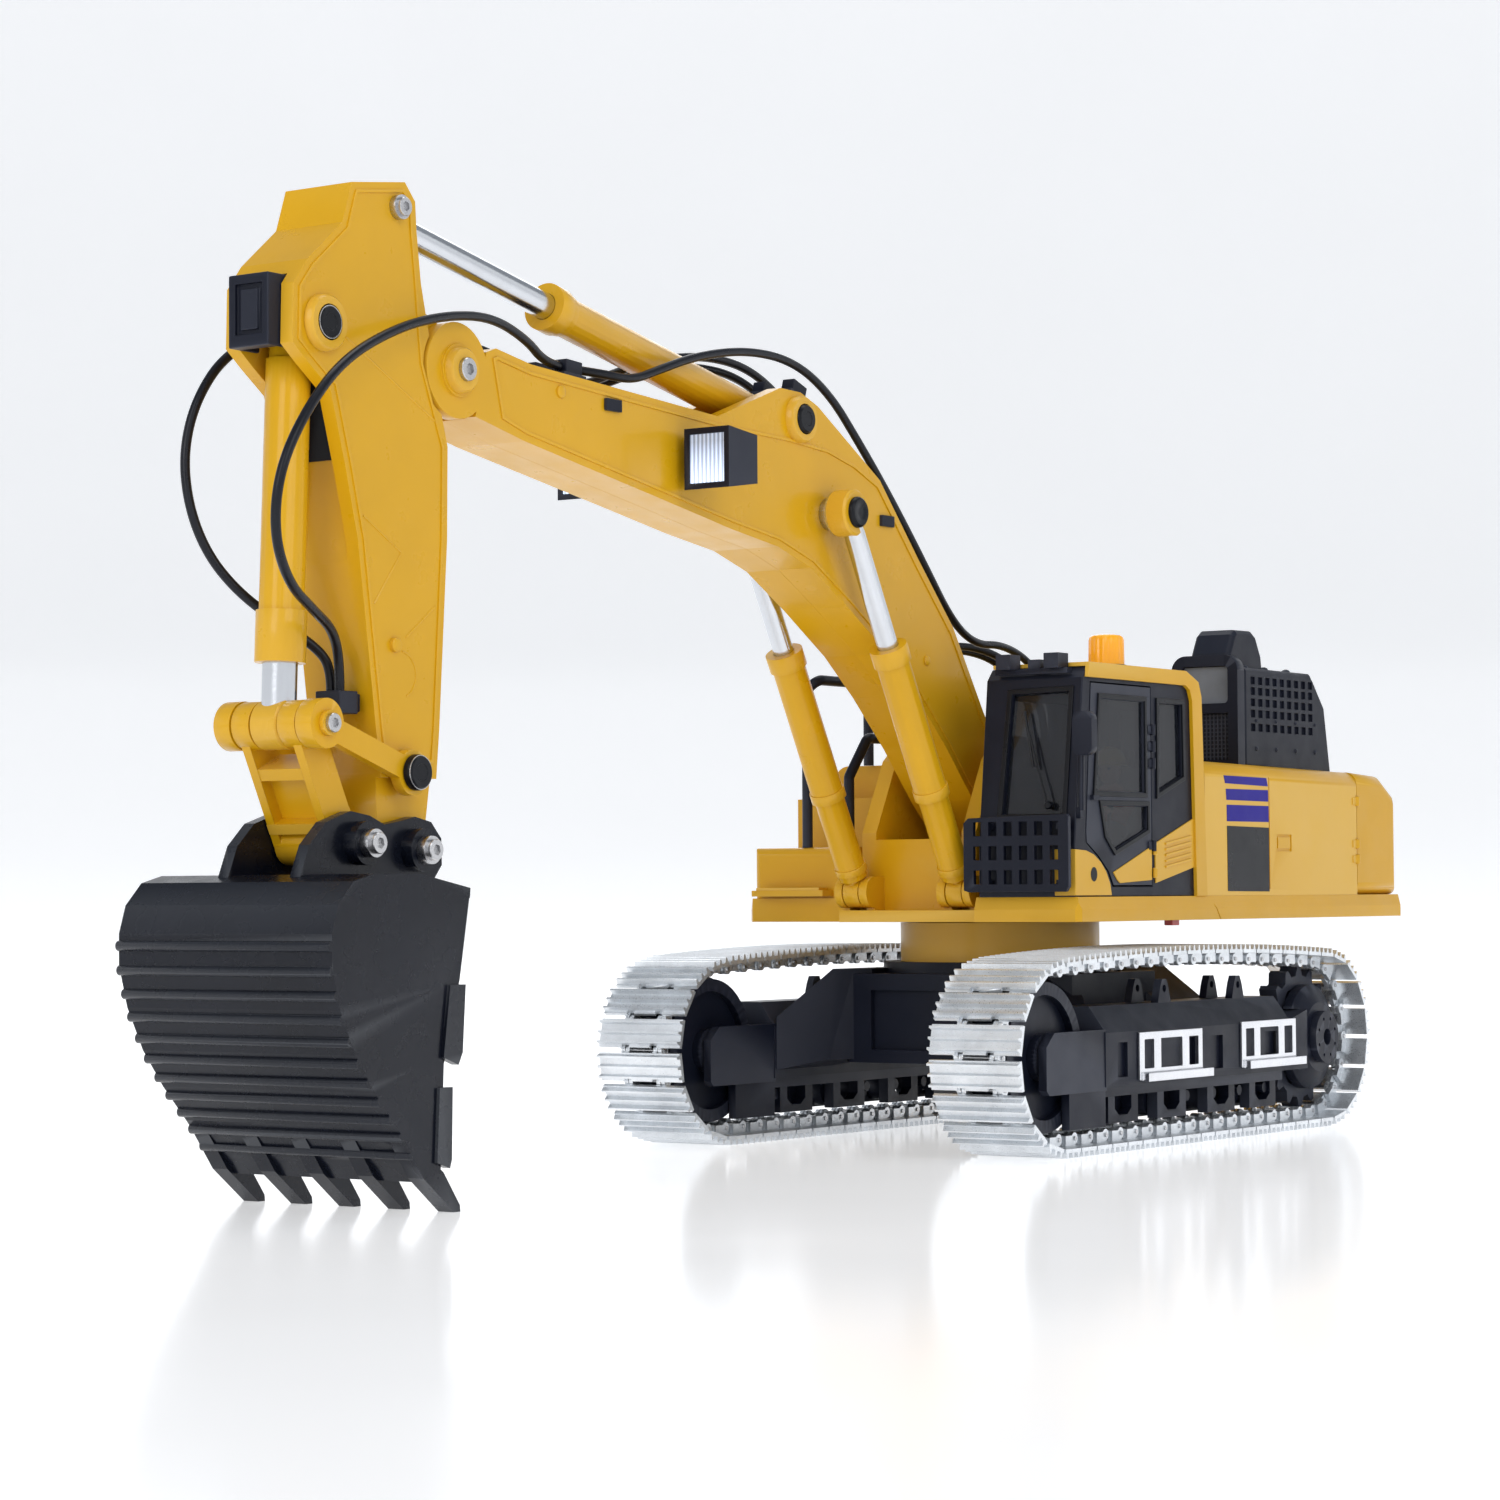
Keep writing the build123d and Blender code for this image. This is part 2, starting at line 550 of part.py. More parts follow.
def cab_profile():
    return [(CAB_REAR, DECK_TOP + 1.0), (CAB_FRONT, DECK_TOP + 1.0), (CAB_FRONT, 88), (55.5, 136.5),
            (52.5, CAB_TOP), (-6, CAB_TOP), (-14.6, 136.3), (-16.0, 131.5)]


def cab():
    outer = slab_xz(cab_profile(), CAB_RIGHT, CAB_LEFT)
    inner = [(CAB_REAR + WALL, DECK_TOP + 3), (CAB_FRONT - WALL, DECK_TOP + 3), (CAB_FRONT - WALL, 88),
             (53.5, 135), (51.5, CAB_TOP - WALL), (-5.6, CAB_TOP - WALL), (-12.7, 134.9), (-13.9, 131)]
    shell = outer - slab_xz(inner, CAB_RIGHT + WALL, CAB_LEFT - WALL)
    # front window
    front = slab_yz([(36.5, 97), (56.5, 97), (56.9, 132.5), (38.0, 132.0)], 48, 64)
    shell = shell - front
    # rear quarter window beside the door, right side window and rear window
    quarter = [(9.6, 130.6), (-4.8, 130.6), (-5.3, 109.2), (9.9, 104.2)]
    shell = shell - slab_xz(quarter, 58, 62)
    right = [(48, 131), (-9, 131), (-10, 97), (50, 97)]
    shell = shell - slab_xz(right, 28, 32)
    shell = shell - slab_yz([(35, 100), (55, 100), (55, 130), (35, 130)], -20, -12)
    # door opening
    opening = DOOR_OUTLINE
    shell = shell - slab_xz(opening, 58, 62)
    save("cab_shell", shell)

    # yellow roof skin and left rear pillar
    top = slab_xz([(53.5, CAB_TOP + 0.02), (53.5, CAB_TOP + 1.2), (-6.5, CAB_TOP + 1.2), (-6.2, CAB_TOP + 0.02)],
                  CAB_RIGHT + 1, CAB_LEFT + 0.7)
    edge = slab_xz([(54.2, 136.6), (53.6, CAB_TOP + 1.2), (-6.5, CAB_TOP + 1.2), (-14.4, 138.0), (-16.3, 133.5),
                    (-18.9, DECK_TOP + 1.0), (-12.2, DECK_TOP + 1.0), (-10.2, 132.0), (-8.6, 135.4), (-6.0, 136.6)],
                   CAB_LEFT + 0.02, CAB_LEFT + 1.2)
    save("cab_roof", fused([top, edge]))

    # glass
    lean = (55.5 - CAB_FRONT) / (136.5 - 88)
    low, high = 96.2, 132.9
    x_low = CAB_FRONT - 1.5 + lean * (low - 88)
    x_high = CAB_FRONT - 1.5 + lean * (high - 88)
    pane = slab_xz([(x_low, low), (x_low - 0.8, low), (x_high - 0.8, high), (x_high, high)], 30, 60)
    pane = pane & slab_yz([(36.6, 97.1), (56.4, 97.1), (56.8, 132.4), (38.1, 131.9)], 45, 64)
    quarter_in = [(9.5, 130.5), (-4.7, 130.5), (-5.2, 109.3), (9.8, 104.4)]
    right_in = [(47.9, 130.9), (-8.9, 130.9), (-9.9, 97.1), (49.8, 97.1)]
    panes = [pane, slab_xz(quarter_in, 59.3, 60.1), slab_xz(right_in, 29.5, 30.3),
             slab_yz([(35.1, 100.1), (54.9, 100.1), (54.9, 129.9), (35.1, 129.9)], -15.9, -15.3)]
    save("cab_glass", group(panes))


def cab_door():
    """Front-opening door, hinged at its rear edge on the seam."""
    gap = 0.35
    sheet = [(DOOR_SEAM + gap, 135.4 - gap), (50.9 - gap, 135.4 - gap), (54.4 - gap, 92.0), (54.2 - gap, 88.8),
             (47.1 - gap, 84.8), (41.2 - gap, 80.4), (38.3 - gap, 76.0 + gap), (DOOR_SEAM + gap, 76.0 + gap)]
    door = slab_xz(sheet, 59.2, CAB_LEFT)
    upper = [(18.9, 130.6), (45.3, 130.6), (48.4, 103.8), (18.9, 103.8)]
    lower = [(17.6, 99.6), (44.6, 99.4), (42.2, 91.2), (37.2, 86.8), (17.6, 92.9)]
    door = door - slab_xz(upper, 58, 62) - slab_xz(lower, 58, 62)
    knuckles = []
    for z in (88.0, 112.5, 117.5, 122.5):
        knuckles.append(disc_z(DOOR_SEAM, CAB_LEFT + 0.75, 0.7, z - 1.6, z + 1.6))
        knuckles.append(box(DOOR_SEAM, DOOR_SEAM + 2.6, CAB_LEFT - 0.2, CAB_LEFT + 0.5, z - 1.2, z + 1.2))
    door = fused([door] + knuckles)
    handle = box(48.2, 51.6, CAB_LEFT, CAB_LEFT + 1.2, 101.0, 102.4)
    save("cab_door", door + handle)
    pane_up = [(18.95, 130.55), (45.25, 130.55), (48.35, 103.85), (18.95, 103.85)]
    pane_low = [(17.65, 99.5), (44.5, 99.3), (42.1, 91.25), (37.15, 86.9), (17.65, 93.0)]
    save("door_glass", group([slab_xz(pane_up, 59.7, 60.4), slab_xz(pane_low, 59.7, 60.4)]))


def cab_interior():
    seat = fused([box(4, 20, 37, 53, 86, 90.5), box(0.5, 5.5, 37.5, 52.5, 88, 112),
                  box(2, 5, 41, 49, 111.5, 117), box(6, 18, 40, 50, DECK_TOP + 3.0, 86.5)])
    save("seat", seat)
    torso = box(6.2, 14, 39.5, 50.5, 90.7, 106)
    head = Pos(10.5, 45, 111.2) * Sphere(4.2)
    neck = disc_z(10.5, 45, 2.0, 105, 110)
    helmet = (Pos(10.2, 45, 112.4) * Sphere(5.0)) & box(0, 20, 35, 55, 112.4, 120)
    brim = disc_z(11.2, 45, 5.8, 112.0, 112.9)
    limbs = []
    for side in (-1, 1):
        y = 45 + side * 3.2
        limbs.append(rod_between((9, y, 93.0), (23, y, 93.3), 2.3))
        limbs.append(rod_between((23, y, 93.3), (25, y, 80), 2.1))
        shoulder = 45 + side * 6.4
        limbs.append(rod_between((9.5, shoulder, 103.5), (15, shoulder, 97), 1.9))
        limbs.append(rod_between((15, shoulder, 97), (24, 45 + side * 5.5, 98.5), 1.7))
    save("operator", fused([torso, neck, head, helmet, brim] + limbs))
    battery = box(-112, -72, -20, 20, 75.5, 98)
    save("battery", battery)
    board = box(-70, -26, -30, 30, 75.5, 77.1)
    chips = [box(-60, -50, -14, -4, 77.1, 80), box(-44, -36, 4, 14, 77.1, 79.6),
             disc_z(-56, 16, 3.0, 77.1, 84), box(-34, -30, -24, 20, 77.1, 83)]
    save("circuit_board", fused([board] + chips))


def cab_fittings():
    beacon = disc_z(12, 45, 6.0, CAB_TOP + 1.25, CAB_TOP + 2.6)
    dome = fillet(disc_z(12, 45, 5.2, CAB_TOP + 2.0, 151.6).edges().sort_by(Axis.Z)[-1], 1.4)
    save("beacon", fused([beacon, dome]))
    bar = box(54.6, 57.4, 33, 57, 137.8, 139.4)
    lamps = []
    for y in (37.4, 53.4):
        lamps.append(box(54.5, 60.5, y - 2.4, y + 2.4, 139.2, 143.6))
    bridge = box(48, 57.4, 44, 48, CAB_TOP + 1.22, CAB_TOP + 2.2)
    bar = fused([bar, box(54.4, 57.4, 44, 48, 138.5, CAB_TOP + 2.2), bridge] + lamps)
    arm = rod_between((59.0, 62.2, 98), (62.5, 64.5, 121), 0.9)
    foot = box(57.9, 59.9, 61.02, 62.4, 95.5, 98.8)
    glass = Pos(63.5, 66.0, 119.8) * Box(3.2, 6.4, 12.6)
    glass = fillet(glass.edges().filter_by(Axis.X), 2.4)
    mirror = fused([foot, arm, glass])
    save("cab_fittings", group([bar, mirror]))
    guard = slab_yz([(26.5, 75.0), (26.5, 94.5), (28, 96), (61, 96.8), (61.5, 96), (61.5, 76), (60.5, 74.5),
                     (28, 74.5)], 64.0, 65.6)
    for row in range(3):
        for i in range(6):
            y = 31.2 + i * 5.1
            z = 78.8 + row * 7.0
            guard = guard - box(63, 67, y - 1.35, y + 1.35, z - 2.0, z + 2.0)
    stays = []
    for y in (33.0, 58.0):
        for z in (77.0, 93.5):
            stays.append(box(61.03, 64.5, y - 1.2, y + 1.2, z - 1.0, z + 1.0))
    save("front_guard", fused([guard] + stays))


def power_switch():
    """Red slider of the power switch, under the left edge of the deck."""
    cap = box(-2.5 - 3.4, -2.5 + 1.4, 56.6, 59.4, 64.2, 67.4)
    save("power_switch", cap)


# ---------------------------------------------------------------- boom
BOOM_TOP_LINE = [(268.5, 210.2), (264.6, 211.6), (250.2, 209.2), (167.3, 204.5), (136.5, 215.6), (126.3, 215.4),
                 (117.5, 212.4), (85, 194.3), (63.8, 172.5), (44.5, 153.6), (27.1, 128.7), (0.5, 97.5)]
BOOM_LOW_LINE = [(12.5, 83.5), (33.7, 102), (49.4, 117.8), (66.2, 132.5), (81.4, 143.9), (102.8, 156.3),
                 (121.7, 166.2), (138.1, 171), (160.7, 174.1), (194.3, 179.7), (253, 189.3), (273, 193.5)]
BOOM_TOP_INNER = [(262, 207.5), (250.4, 206.8), (170.0, 202.4), (163, 200.4), (152, 199.4), (116.0, 199.4), (86.4, 191.4),
                  (65.4, 170.9), (46.3, 152.3), (29, 127.3), (18, 112.5)]
BOOM_LOW_INNER = [(32.4, 103.9), (47.8, 119.5), (64.8, 134.3), (80.3, 146), (101.8, 158.3), (120.9, 168.4),
                  (137.6, 173.2), (160.3, 176.3), (193.9, 182), (252.6, 191.6), (262, 193.4)]


def boom():
    """Two half shells joined on the centre plane, forked at the tip for the stick."""
    outline = BOOM_TOP_LINE + BOOM_LOW_LINE
    solid = slab_xz(outline, 0, BOOM_HALF)
    solid = fused([solid, rod_y(BOOM_FOOT, 9.5, 0, BOOM_HALF), rod_y(BOOM_TIP, EAR_RADIUS, 0, BOOM_HALF)])
    hollow = slab_xz(BOOM_TOP_INNER + BOOM_LOW_INNER, -1, BOOM_HALF - WALL)
    half = solid - hollow
    # fork for the stick tongue
    fork = fused([rod_y(BOOM_TIP, 13.4, -1, TONGUE_HALF + SIDE_GAP),
                  box(BOOM_TIP[0], BOOM_TIP[0] + 30, -1, TONGUE_HALF + SIDE_GAP, 180, 230)])
    half = half - fork
    # slot between the raised cheeks for the stick cylinder
    slot = slab_xz([(106, 201.4), (160, 201.4), (172, 205.0), (172, 222), (106, 222)], -1, 6.3)
    half = half - slot
    half = bored(half, [(BOOM_FOOT, 3.0 + RUN), (BOOM_TIP, 2.5 + SEAT), (STICK_CYL_FOOT, 2.0 + SEAT)])
    # boss behind the stick pivot bolt and behind the stick cylinder foot
    for centre, radius, hole in ((BOOM_TIP, 6.6, 2.5), (STICK_CYL_FOOT, 6.2, 2.0)):
        boss = rod_y(centre, radius, BOOM_HALF - 0.2, BOOM_HALF + 0.7)
        half = half + (boss - rod_y(centre, hole + SEAT, 0, 20))
    rim_low = BOOM_LOW_LINE[1:]
    save("boom_left_shell", half)
    save("boom_right_shell", flipped(half))

    pins = [rod_y(BOOM_TIP, 2.5, -12.2, 12.2), rod_y(STICK_CYL_FOOT, 2.0, -12.2, 12.2)]
    heads = []
    for pin, centre, radius in ((pins[0], BOOM_TIP, 3.6), (pins[1], STICK_CYL_FOOT, 4.0)):
        head = [rod_y(centre, radius, BOOM_HALF + 0.72, BOOM_HALF + 2.4)]
        head.append(flipped(head[0]))
        heads.append(fused([pin] + head))
    boss = []
    eye = BOOM_CYL_EYE
    pad = rod_y(eye, 4.6, BOOM_HALF + 0.02, 13.7)
    save("boom_pins", group(heads + both(pad)))


def work_lights():
    """Lamp housings on both sides of the boom, lenses facing forward."""
    x0 = 186.0
    z0 = 190.5
    stem = rod_between((x0 - 6, BOOM_HALF + 0.02, z0), (x0 - 6, 15.5, z0), 2.0)
    shell = slab_xz([(x0 - 12, z0 - 6.2), (x0 + 1.5, z0 - 8.2), (x0 + 1.5, z0 + 8.2), (x0 - 12, z0 + 6.8)],
                    14.0, 28.5)
    shell = shell - box(x0 - 0.3, x0 + 3, 15.6, 26.9, z0 - 6.6, z0 + 6.6)
    housing = fused([shell, stem])
    lens = box(x0 - 0.28, x0 + 1.2, 15.7, 26.8, z0 - 6.5, z0 + 6.5)
    save("work_lights", group(both(housing)))
    save("light_lenses", group(both(lens)))


def cable_guides():
    """Black cable saddles on the boom and the clip tabs on its flanks."""
    parts = []
    for start, end, share in ((2, 3, 0.28), (5, 6, 0.5), (7, 8, 0.75)):
        p, q = BOOM_TOP_LINE[start], BOOM_TOP_LINE[end]
        lean = atan2(p[1] - q[1], p[0] - q[0])
        spot = along(p, q, share * hypot(p[0] - q[0], p[1] - q[1]))
        lift = 0.93
        base = Box(9.5, 15, 1.8) + Pos(0, 5.0, 2.4) * Box(7, 4.0, 4.0) + Pos(0, -5.0, 2.4) * Box(7, 4.0, 4.0)
        place = Location((spot[0] - lift * sin(lean), 0, spot[1] + lift * cos(lean)), (0, -degrees(lean), 0))
        parts.append(base.moved(place))
    for x, z in ((216.0, 202.3), (82.0, 182.5)):
        parts += both(box(x - 3.4, x + 3.4, BOOM_HALF + 0.02, BOOM_HALF + 1.0, z - 1.6, z + 1.6))
    save("cable_guides", group(parts))


# ---------------------------------------------------------------- cylinders
def eye_block(centre, radius, half, y=0.0):
    return rod_y(centre, radius, y - half, y + half)


def hollow_barrel(foot, head, rings, bore, depth, y=0.0):
    """Barrel made of coaxial cylinders, drilled from the gland end for its rod."""
    parts = [tube_piece(foot, head, start, end, radius, y) for start, end, radius in rings]
    gland = max(end for _, end, _ in rings)
    solid = fused(parts)
    return solid - tube_piece(foot, head, gland - depth, gland + 1, bore, y)


def boom_cylinders():
    foot, head = BOOM_CYL_FOOT, BOOM_CYL_EYE
    full = hypot(head[0] - foot[0], head[1] - foot[1])
    rings = [(3.0, 5.6, 2.4), (5.3, 8.2, 4.3), (7.2, 9.4, 4.9), (9.3, 32.0, 4.45), (32.0, 35.0, 5.3), (35.0, 80.0, 4.9),
             (75.6, 80.8, 5.6)]
    barrel = hollow_barrel(foot, head, rings, 3.15, 66, BOOM_CYL_Y)
    eye = rod_y(foot, 4.6, 15.4, 20.6)
    barrel = fused([barrel, eye]) - rod_y(foot, 2.0 + RUN, 10, 30)
    rod = tube_piece(foot, head, 34.5, full - 3.0, 3.05, BOOM_CYL_Y)
    head_eye = rod_y(head, 6.4, 14.1, 20.2)
    cap = rod_y(head, 4.3, 20.0, 21.4)
    rod = fused([rod, head_eye, cap])
    save("boom_barrel_left", barrel)
    save("boom_barrel_right", flipped(barrel))
    save("boom_rod_left", rod)
    save("boom_rod_right", flipped(rod))


def stick_cylinder():
    foot, head = STICK_CYL_FOOT, STICK_CYL_EYE
    full = hypot(head[0] - foot[0], head[1] - foot[1])
    rings = [(4.0, 12.0, 4.6), (10.5, 100.0, 5.3), (100.0, 105.0, 6.4), (97.5, 100.5, 5.8)]
    barrel = hollow_barrel(foot, head, rings, 3.6, 92)
    barrel = fused([barrel, eye_block(foot, 5.4, 5.6)]) - rod_y(foot, 2.0 + RUN, -10, 10)
    save("stick_barrel", barrel)
    rod = tube_piece(foot, head, 52.0, full - 3.6, 3.5)
    save("stick_rod", fused([rod, eye_block(head, 2.9, 4.6)]))


def bucket_cylinder():
    foot, head = BUCKET_CYL_FOOT, LINK_PIN
    full = hypot(head[0] - foot[0], head[1] - foot[1])
    rings = [(3.6, 9.0, 4.6), (8.0, 70.0, 5.4), (68.0, 80.4, 6.1)]
    barrel = hollow_barrel(foot, head, rings, 4.3, 68)
    barrel = fused([barrel, eye_block(foot, 5.2, 5.0)]) - rod_y(foot, 2.0 + RUN, -10, 10)
    save("bucket_barrel", barrel)
    rod = tube_piece(foot, head, 40.0, full - 3.0, 4.2)
    save("bucket_rod", fused([rod, eye_block(head, 5.6, 3.9)]))


# ---------------------------------------------------------------- stick
STICK_HEAD = [(299.6, 248.2), (319.5, 245.2), (323.0, 235.0), (335.5, 224.6), (340.4, 218.4), (340.8, 204.2),
              (335.6, 200.2), (327.4, 194.5)]
STICK_FRONT = [(322.0, 176.5), (317.5, 159.4), (310.9, 114.1), (309.2, 103.0)]
STICK_BACK = [(288.2, 103.0), (287.0, 114.9), (283.7, 162), (283.4, 185.0), (285.5, 192.0), (293.6, 224.2),
              (295.2, 236.7), (295.7, 244.0)]


def stick():
    """Box-section stick: tongue to the boom, head over both cylinder pins, narrow foot."""
    outline = STICK_HEAD + STICK_FRONT + STICK_BACK
    body = slab_xz(outline, -STICK_HALF, STICK_HALF)
    relief = rod_y(BOOM_TIP, EAR_RADIUS + 0.8, -20, 20)
    body = body - relief
    # hollow of the section, below the head
    inner = [(313.5, 172), (311.5, 158), (305.5, 118), (291.4, 118), (288.4, 162), (288.4, 184), (303, 184)]
    body = body - slab_xz(inner, -STICK_HALF + WALL, STICK_HALF - WALL)
    # slot of the stick cylinder eye, open to the rear and the top rear
    rear_slot = slab_xz([(280, 223), (303, 227), (310.5, 233), (310.5, 242.5), (306.5, 246.6), (301, 247.4),
                         (297.4, 247.4), (280, 252)], -5.2, 5.2)
    body = body - rear_slot
    # pocket of the bucket cylinder, open to the front
    pocket = slab_xz([(345, 190), (345, 221.0), (327, 221.0), (320.5, 214), (319.6, 200), (318.0, 176), (316.5, 150),
                      (345, 120)], -6.6, 6.6)
    body = body - pocket
    tongue = fused([rod_y(BOOM_TIP, 10.5, -TONGUE_HALF, TONGUE_HALF),
                    slab_xz([(280, 193.8), (280, 214.8), (297, 222), (297, 182)], -TONGUE_HALF, TONGUE_HALF)])
    body = fused([body, tongue])
    foot = slab_xz([(309.4, 106), (308.9, 92.6), (306.6, 83.5), (303.2, 79.0), (298.0, 77.6), (293.4, 79.4),
                    (291.0, 84.0), (290.4, 92.0), (288.1, 106)], -8.8, 8.8)
    body = fused([body, foot])
    for side in (-1, 1):
        y0, y1 = sorted((side * (STICK_HALF - 0.2), side * (STICK_HALF + 0.8)))
        body = body + rod_y(BUCKET_CYL_FOOT, 6.4, y0, y1)
    holes = [(BOOM_TIP, 2.5 + RUN), (BUCKET_PIN, 2.2 + RUN), (ROCKER_PIN, 2.0 + SEAT),
             (BUCKET_CYL_FOOT, 2.0 + SEAT)]
    body = bored(body, holes)
    for side in (-1, 1):
        y0, y1 = sorted((side * 4.8, side * 13.0))
        body = body - rod_y(STICK_CYL_EYE, 1.6 + SEAT, y0, y1)
    save("stick_shell", body)

    pins = []
    cap_in = STICK_HALF + 0.82
    foot_pin = fused([rod_y(BUCKET_CYL_FOOT, 2.0, -12, 12), rod_y(BUCKET_CYL_FOOT, 4.0, cap_in, cap_in + 1.6),
                      rod_y(BUCKET_CYL_FOOT, 4.0, -cap_in - 1.6, -cap_in)])
    rocker_pin = fused([rod_y(ROCKER_PIN, 2.0, -15.6, 15.6), rod_y(ROCKER_PIN, 4.2, 14.4, 16.2),
                        rod_y(ROCKER_PIN, 4.2, -16.2, -14.4)])
    pins += [foot_pin, rocker_pin]
    stub = fused([rod_y(STICK_CYL_EYE, 1.6, 5.3, 11.5), rod_y(STICK_CYL_EYE, 3.0, STICK_HALF + 0.02, 12.3)])
    pins += both(stub)
    save("stick_pins", group(pins))

    # square cover over the end of the bucket cylinder
    cover = box(334.6, 344.6, -6.2, 6.2, 203.6, 220.8)
    cover = cover - box(333, 340.5, -5.3, 5.3, 200, 219.2)
    cover = cover - box(343.6, 346, -4.2, 4.2, 206.5, 218.5) + box(343.6, 344.4, -2.6, 2.6, 207.6, 217.2)
    plug = fused([box(314.6, 321.3, 0.2, 8.0, 118.0, PLUG_TOP), box(312.4, 315.5, 1.6, 6.8, 118.6, 123.0)])
    save("stick_covers", group([cover, plug]))


# ---------------------------------------------------------------- bucket linkage
def rocker_links():
    arm = []
    a, c = ROCKER_PIN, LINK_PIN
    length = hypot(c[0] - a[0], c[1] - a[1])
    nx = -(c[1] - a[1]) / length
    nz = (c[0] - a[0]) / length
    y0, y1 = 11.2, 14.0
    corners = [(a[0] + nx * 2.9, a[1] + nz * 2.9), (c[0] + nx * 2.9, c[1] + nz * 2.9),
               (c[0] - nx * 2.9, c[1] - nz * 2.9), (a[0] - nx * 2.9, a[1] - nz * 2.9)]
    arm = fused([slab_xz(corners, y0, y1), rod_y(a, 5.6, y0, y1), rod_y(c, 5.9, 10.3, 15.2)])
    arm = bored(arm, [(a, 2.0 + RUN)])
    pin = fused([rod_y(c, 2.0, 4.4, 15.4), rod_y(c, 3.0, 15.22, 16.6)])
    arm = fused([arm, pin])
    save("rocker_links", group(both(arm)))


def h_link():
    c, d = LINK_PIN, BUCKET_LINK_PIN
    length = hypot(c[0] - d[0], c[1] - d[1])
    nx = -(c[1] - d[1]) / length
    nz = (c[0] - d[0]) / length

    def strip(start, end, half, y0, y1):
        p = along(c, d, start)
        q = along(c, d, end)
        corners = [(p[0] + nx * half, p[1] + nz * half), (q[0] + nx * half, q[1] + nz * half),
                   (q[0] - nx * half, q[1] - nz * half), (p[0] - nx * half, p[1] - nz * half)]
        return slab_xz(corners, y0, y1)

    side = fused([rod_y(c, 5.7, 4.4, 9.9), strip(0, length, 4.6, 6.8, 9.3)])
    parts = both(side)
    parts.append(strip(9.5, 12.5, 4.4, -9.0, 9.0))
    parts.append(strip(9.5, length - 3, 1.3, -7.2, 7.2))
    parts.append(strip(length - 7.5, length - 4.8, 4.8, -9.3, 9.3))
    parts.append(rod_y(d, 5.1, -9.0, 9.0))
    link = fused(parts)
    link = bored(link, [(c, 2.0 + RUN), (d, 3.5)])
    save("h_link", link)


# ---------------------------------------------------------------- bucket
BUCKET_OUT = [(303.2, 76.3), (321.7, 79.6), (338.9, 79.6), (345.8, 77.9), (351.2, 72.6), (353.4, 66.0), (353.4, 58.5),
              (350.6, 48.5), (345.3, 38.2), (338.4, 29.3), (330.4, 20.8), (322.6, 12.2), (318.0, 7.4)]
BUCKET_IN = [(314.9, 9.8), (320.6, 14.4), (328.6, 22.6), (336.4, 31.0), (343.2, 39.7), (348.4, 49.8), (350.9, 59.2),
             (350.8, 65.4), (349.2, 71.2), (344.7, 75.6), (338.4, 77.2), (322.1, 77.2), (303.4, 73.9)]
BUCKET_SIDE = [(303.2, 76.3), (321.7, 79.6), (338.9, 79.6), (345.8, 77.9), (351.2, 72.6), (353.4, 66.0), (353.4, 58.5),
               (350.6, 48.5), (345.3, 38.2), (338.4, 29.3), (330.4, 20.8), (322.6, 12.2), (318.0, 7.4), (314.7, 9.6),
               (313.4, 35.0), (307.4, 54.6)]


def bucket_ribs():
    """Horizontal wear ribs across the back of the bucket."""
    ribs = []
    back = BUCKET_OUT[5:12]
    lengths = [hypot(b[0] - a[0], b[1] - a[1]) for a, b in zip(back, back[1:])]
    total = sum(lengths)
    count = 11
    for i in range(count):
        s = total * (i + 0.5) / count
        k = 0
        while s > lengths[k] and k < len(lengths) - 1:
            s -= lengths[k]
            k += 1
        centre = along(back[k], back[k + 1], s)
        ribs.append(rod_y(centre, 1.25, -BUCKET_HALF, BUCKET_HALF))
    return ribs


def bucket():
    wrap = slab_xz(BUCKET_OUT + BUCKET_IN, -BUCKET_HALF, BUCKET_HALF)
    parts = [wrap]
    for side in (-1, 1):
        y0, y1 = sorted((side * (BUCKET_HALF - 2.2), side * BUCKET_HALF))
        parts.append(slab_xz(BUCKET_SIDE, y0, y1))
        y0, y1 = sorted((side * (BUCKET_HALF - 1.2), side * (BUCKET_HALF + 0.9)))
        parts.append(slab_xz([(306.2, 53.5), (312, 53.5), (314.5, 36.5), (309.0, 34.6), (307.4, 37.5)], y0, y1))
        parts.append(slab_xz([(311.2, 29.5), (316, 29.5), (317, 12.0), (312.3, 10.5), (311.6, 12.5)], y0, y1))
    parts += bucket_ribs()
    first = -(TOOTH_COUNT - 1) / 2 * TOOTH_PITCH
    for i in range(TOOTH_COUNT):
        y = first + i * TOOTH_PITCH
        half = 2.4
        tooth = slab_xz([(330.6, 21.4), (321.0, 8.6), (309.8, 0.0), (307.4, 0.0), (307.6, 1.6), (313.6, 9.6),
                         (319.0, 13.4)], y - half, y + half)
        parts.append(tooth)
    ear = slab_xz([(341.2, 79.0), (337.9, 86.5), (331.9, 91.9), (322.9, 94.6), (316, 93.6), (310.8, 91.6),
                   (305.2, 92.4), (299.2, 93.6), (293.1, 92.4), (289.2, 88.4), (289.0, 82.0), (292.5, 78.0),
                   (303.4, 74.2)], 9.6, 12.8)
    ear = fused([ear, rod_y(BUCKET_PIN, 5.2, 12.6, 16.2), rod_y(BUCKET_LINK_PIN, 5.2, 12.6, 16.2)])
    parts += both(ear)
    shell = fused(parts)
    shell = bored(shell, [(BUCKET_PIN, 2.2 + SEAT), (BUCKET_LINK_PIN, 2.0 + SEAT)])
    save("bucket_shell", shell)
    pins = []
    for centre, radius in ((BUCKET_PIN, 2.2), (BUCKET_LINK_PIN, 2.0)):
        pins.append(fused([rod_y(centre, radius, -16.8, 16.8), rod_y(centre, 3.4, 16.22, 18.6),
                           rod_y(centre, 3.4, -18.6, -16.22)]))
    save("bucket_pins", group(pins))


